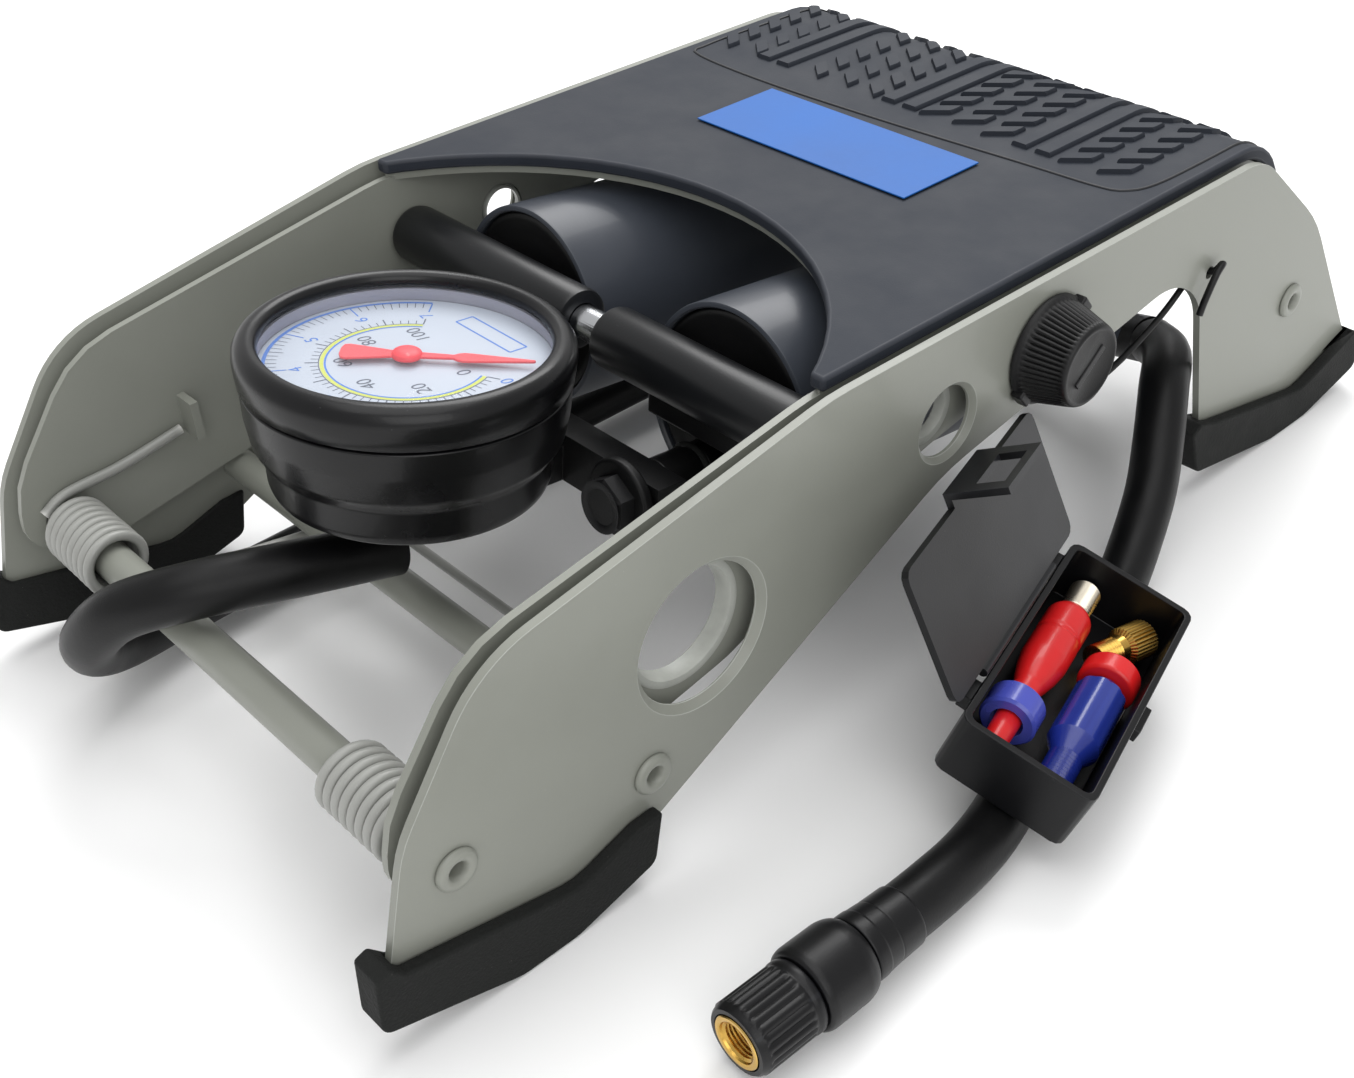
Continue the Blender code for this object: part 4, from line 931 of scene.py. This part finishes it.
def lock():
    """The ribbed knob, its two lugs and its grip."""
    face = PANEL_OUT + GAP
    tip = face + KNOB_LENGTH
    marks = [(0, face - 8), (3.0, face - 8), (3.0, face), (12.4, face), (12.75, face + 0.3),
             (12.7, face + 1.2), (12.1, face + 1.8)]
    ribbed = [(KNOB_RADIUS - KNOB_TAPER * k, face + 2.1 + KNOB_STEP * k) for k in range(18)]
    top = [(9.5, tip - 0.7), (9.2, tip - 0.2), (8.8, tip), (8.3, tip), (8.0, tip - 0.35), (0, tip - 0.3)]
    ripple = ribs(KNOB_RIBS, 0.5, face + 1.9, face + 10.9)
    bm = lathe(marks + ribbed + top, 6 * KNOB_RIBS, "x", False, ripple)
    put("lock_knob_ribbed", bm, PLASTIC, LOCK, "lock", 50, stands_for=("lock_knob",))
    turned_lock = LOCK @ Matrix.Rotation(LUG_TURN, 4, "X")
    for k in (-1, 1):
        lug = block((face, -LUG_HALF, k * LUG_AT - LUG_HALF), (face + 3.0, LUG_HALF, k * LUG_AT + LUG_HALF))
        put(f"lock_lug_{k + 1}", lug, PLASTIC, turned_lock, "lock", bevel=0.5, segments=3)
    put("lock_grip", block((tip - 0.5, -0.9, -5.4), (tip - 0.05, 0.9, 5.4)), PLASTIC, turned_lock, "lock",
        bevel=0.2)


def chuck():
    """Strain-relief sleeve, collar, ribbed turning head and its threaded brass socket."""
    fixed = CHUCK @ Matrix.Translation((0, HEAD_GAP, 0))
    sleeve = [(0, 3.4), (6.4, 3.4), (6.6, 2.9), (6.75, -2.6), (6.7, -3.0), (6.8, -3.3), (7.0, -6.4),
              (7.15, -6.8), (7.2, -8.6), (7.1, -9.7), (0, -9.7)]
    parts = [turned("chuck_sleeve_rubber", sleeve, SATIN, "base", fixed, axis="y", sides=96,
                    node="chuck_sleeve")]
    collar = [(0, -10), (7.2, -10), (7.9, -10.7), (8.4, -11.8), (8.75, -13.4), (8.8, -22.2), (8.5, -23.3),
              (8.0, -23.8), (0, -23.8)]
    parts.append(turned("chuck_collar_ring", collar, SATIN, "base", fixed, axis="y", sides=96,
                        node="chuck_collar"))
    outside = [(5.9, 0), (7.5, 0), (7.75, -0.4), (7.75, -1.6), (7.45, -2.0), (7.45, -2.4)]
    outside += [(7.65, -2.7 - 0.6 * k) for k in range(20)]
    outside += [(7.4, -14.4), (7.2, -15.1), (6.8, -15.6), (5.9, -15.6)]
    bm = lathe(outside, 9 * CHUCK_RIBS, "y", True, ribs(CHUCK_RIBS, 0.4, -14.2, -2.4))
    parts.append(put("chuck_head_ribbed", bm, SATIN, CHUCK, "chuck", 50, stands_for=("chuck_head",)))
    socket = [(0, -3.5), (3.7, -3.5)]
    for k in range(THREAD_TURNS):
        socket += [(3.7, -3.7 - THREAD_PITCH * k), (4.2, -3.7 - THREAD_PITCH * (k + 0.5))]
    socket += [(4.4, -15.75), (4.8, -15.9), (5.4, -15.9), (5.6, -15.7), (5.6, -0.4), (0, -0.4)]
    bm = lathe(socket, 96, "y")
    parts.append(put("chuck_socket_thread", bm, BRASS, CHUCK, "chuck", 20, stands_for=("chuck_thread",)))
    return parts


def threaded(radius, low, high, pitch, depth):
    """Profile points of a thread cut on a rod."""
    points = []
    for k in range(int((high - low) / pitch)):
        points += [(radius, low + pitch * k), (radius - depth, low + pitch * (k + 0.5))]
    return points


def fitting(name, marks, mat, at, sides=64, ripple=None, turn=0.0, ease=True, smooth=35, closed=False):
    """A lathed adaptor in the box, with its corners eased unless it is threaded, fluted or a closed ring."""
    place = BOX @ Matrix.Translation(at) @ Matrix.Rotation(turn, 4, "Z")
    profile = curve_profile(marks) if ease else marks
    return put(f"{name}_shape", lathe(profile, sides, "y", closed, ripple), mat, place, "base", smooth,
               stands_for=(name,))


TRAY_FLOOR = 1.6
CLIP_RADIUS = 6.2
RED_RADIUS = 5.2
BLUE_RADIUS = 5.6
RING_RADIUS = 6.4
BRASS_RADIUS = 4.4


def fittings():
    """The loose adaptors in the tray."""
    floor = TRAY_FLOOR + GAP
    inner_x = 0.7 - BOX_WIDTH / 4
    outer_x = BOX_WIDTH / 4 - 0.7
    red_spot = (inner_x, 0, floor + CLIP_RADIUS)
    neck = RED_RADIUS - 0.35
    return [
        fitting("adaptor_red", [(0, -30), (2.2, -30), (2.5, -29), (3.2, -7), (3.6, -6), (4.6, -2),
                                (RED_RADIUS, 2), (RED_RADIUS, 9), (neck, 9.4), (neck, 10.4),
                                (RED_RADIUS, 10.8), (RED_RADIUS, 17.6), (4.2, 19.5), (0, 19.5)],
                RED, red_spot),
        fitting("adaptor_silver_thread", [(0, 19.7), (3.1, 19.7)] + threaded(3.6, 20.4, 29.8, 0.9, 0.4)
                + [(2.2, 30.4), (2.0, 29.6), (0, 29.6)], SILVER, red_spot, ease=False, smooth=20),
        fitting("adaptor_blue", [(0, -30)] + threaded(3.7, -30, -18, 1.0, 0.35)
                + [(3.8, -17.5), (BLUE_RADIUS, -14), (BLUE_RADIUS, 3), (4.4, 4.5), (0, 4.5)],
                BLUE, (outer_x, 0, floor + BLUE_RADIUS), ripple=flutes(10, 0.35, -13.5, 4), ease=False,
                smooth=25),
        fitting("adaptor_red_ring", [(0, 4.8), (5.8, 4.8), (RING_RADIUS, 5.4), (RING_RADIUS, 9.8),
                                     (5.8, 10.4), (0, 10.4)], RED, (outer_x, 0, floor + RING_RADIUS)),
        fitting("adaptor_brass", [(0, -8.5)] + threaded(3.2, -8.5, -0.5, 0.9, 0.35) + [(3.2, 0)]
                + [(BRASS_RADIUS, y) for y in (0.8, 2.2, 4.2, 6.2, 7.7)]
                + [(3.6, 8.5), (2.0, 8.5), (1.8, 7.0), (0, 7.0)],
                BRASS, (5.7, 21.2, floor + BRASS_RADIUS), 120, flutes(30, 0.3, 0.7, 8.0, 4),
                math.radians(-25), ease=False, smooth=25),
        fitting("adaptor_clip", [(3.6, -3.4), (5.6, -3.4), (CLIP_RADIUS, -2.8), (CLIP_RADIUS, 2.8),
                                 (5.6, 3.4), (3.6, 3.4)],
                CLIP_BLUE, (inner_x, -16, floor + CLIP_RADIUS), ease=False, closed=True),
    ]


TIE_HOLE = (252.8, 66.5)
WALL_HOLES = (("big", (83.9, 51.9), 13.6, 4.0), ("small", (155.0, 68.1), 6.6, 2.6))     # spot, radius, depth


def tie():
    """The thin strap through the near panel, with its end outside and its tail inside."""
    y, z = TIE_HOLE
    marks = [(77.0, y, z), (80.8, y + 0.4, z + 0.6), (82.2, y + 1.5, z + 2.8), (82.6, y - 1.5, z + 1.0),
             (82.4, y - 4.5, z - 5.0), (82.2, y - 5.5, z - 8.5)]
    tube("hose_tie_strap", smooth_route(marks, 0.8), 0.9, PLASTIC, PUMP, "base", 4, ("hose_tie",))
    tail = [(76.0, y - 1, z - 1.0), (75.0, y - 10, z - 9.0), (73.8, y - 22, z - 16.0),
            (73.0, y - 34, z - 20.0)]
    tube("hose_tie_tail", smooth_route(tail, 1.0), 0.8, PLASTIC, PUMP, "base", 4)


def hole_flanges():
    """The holes of the pedal's walls are rolled inward."""
    face = WALL_IN + 1.8
    for label, side in SIDE.items():
        for name, spot, radius, depth in WALL_HOLES:
            marks = [(radius + 1.0, face - 0.1), (radius + 0.9, face + 0.15), (radius + 0.2, face + 0.3),
                     (radius - 0.7, face + 0.1), (radius - 1.2, face - 0.7),
                     (radius - 1.35, face - depth + 0.4), (radius - 1.0, face - depth),
                     (radius - 0.6, face - depth + 0.4), (radius - 0.5, face - 1.0), (radius, face - 0.4)]
            # The flanges take the lighter edge paint: edge wear with a painted highlight.
            turned(f"wall_{name}_{label}_flange", [(r, side * x) for r, x in marks], PAINT_EDGE_WEAR_AND_HIGHLIGHT, "pedal",
                   at=(0, *spot), sides=72, closed=True)


# ---------------------------------------------------------------- studio
FLOOR_REACH = 3.0
AIM = Vector((0, 0, 0.05))
WORLD_LIGHT = 0.65
LIGHTS = (("key", (-0.55, 0.75, 1.15), 0.9, 15), ("fill", (1.1, -0.6, 0.8), 1.0, 6),
          ("top", (0.1, -0.1, 1.4), 1.2, 8))    # place and size in metres, power in watts


def studio():
    """A pale floor, three soft lights and an even sky."""
    bm = bmesh.new()
    bmesh.ops.create_grid(bm, x_segments=1, y_segments=1, size=FLOOR_REACH)
    mesh = bpy.data.meshes.new("floor")
    bm.to_mesh(mesh)
    bm.free()
    floor = bpy.data.objects.new("floor", mesh)
    bpy.context.collection.objects.link(floor)
    mesh.materials.append(FLOOR)
    for name, spot, size, power in LIGHTS:
        light = bpy.data.lights.new(name, "AREA")
        light.size = size
        light.energy = power
        made = bpy.data.objects.new(name, light)
        bpy.context.collection.objects.link(made)
        made.location = spot
        made.rotation_euler = (Vector(spot) - AIM).to_track_quat("Z", "Y").to_euler()
    world = bpy.data.worlds.new("studio")
    world.use_nodes = True
    sky = world.node_tree.nodes["Background"]
    sky.inputs["Color"].default_value = (1, 1, 1, 1)
    sky.inputs["Strength"].default_value = WORLD_LIGHT
    bpy.context.scene.world = world
    bpy.context.scene.view_settings.view_transform = "Standard"


hose, hose_points = hoses()
carried()
axles()
springs()
tread()
pad_line()
barrels()
bolts()
gauge()
lock()
chuck_parts = chuck()
fitting_parts = fittings()
tie()
hole_flanges()
studio()
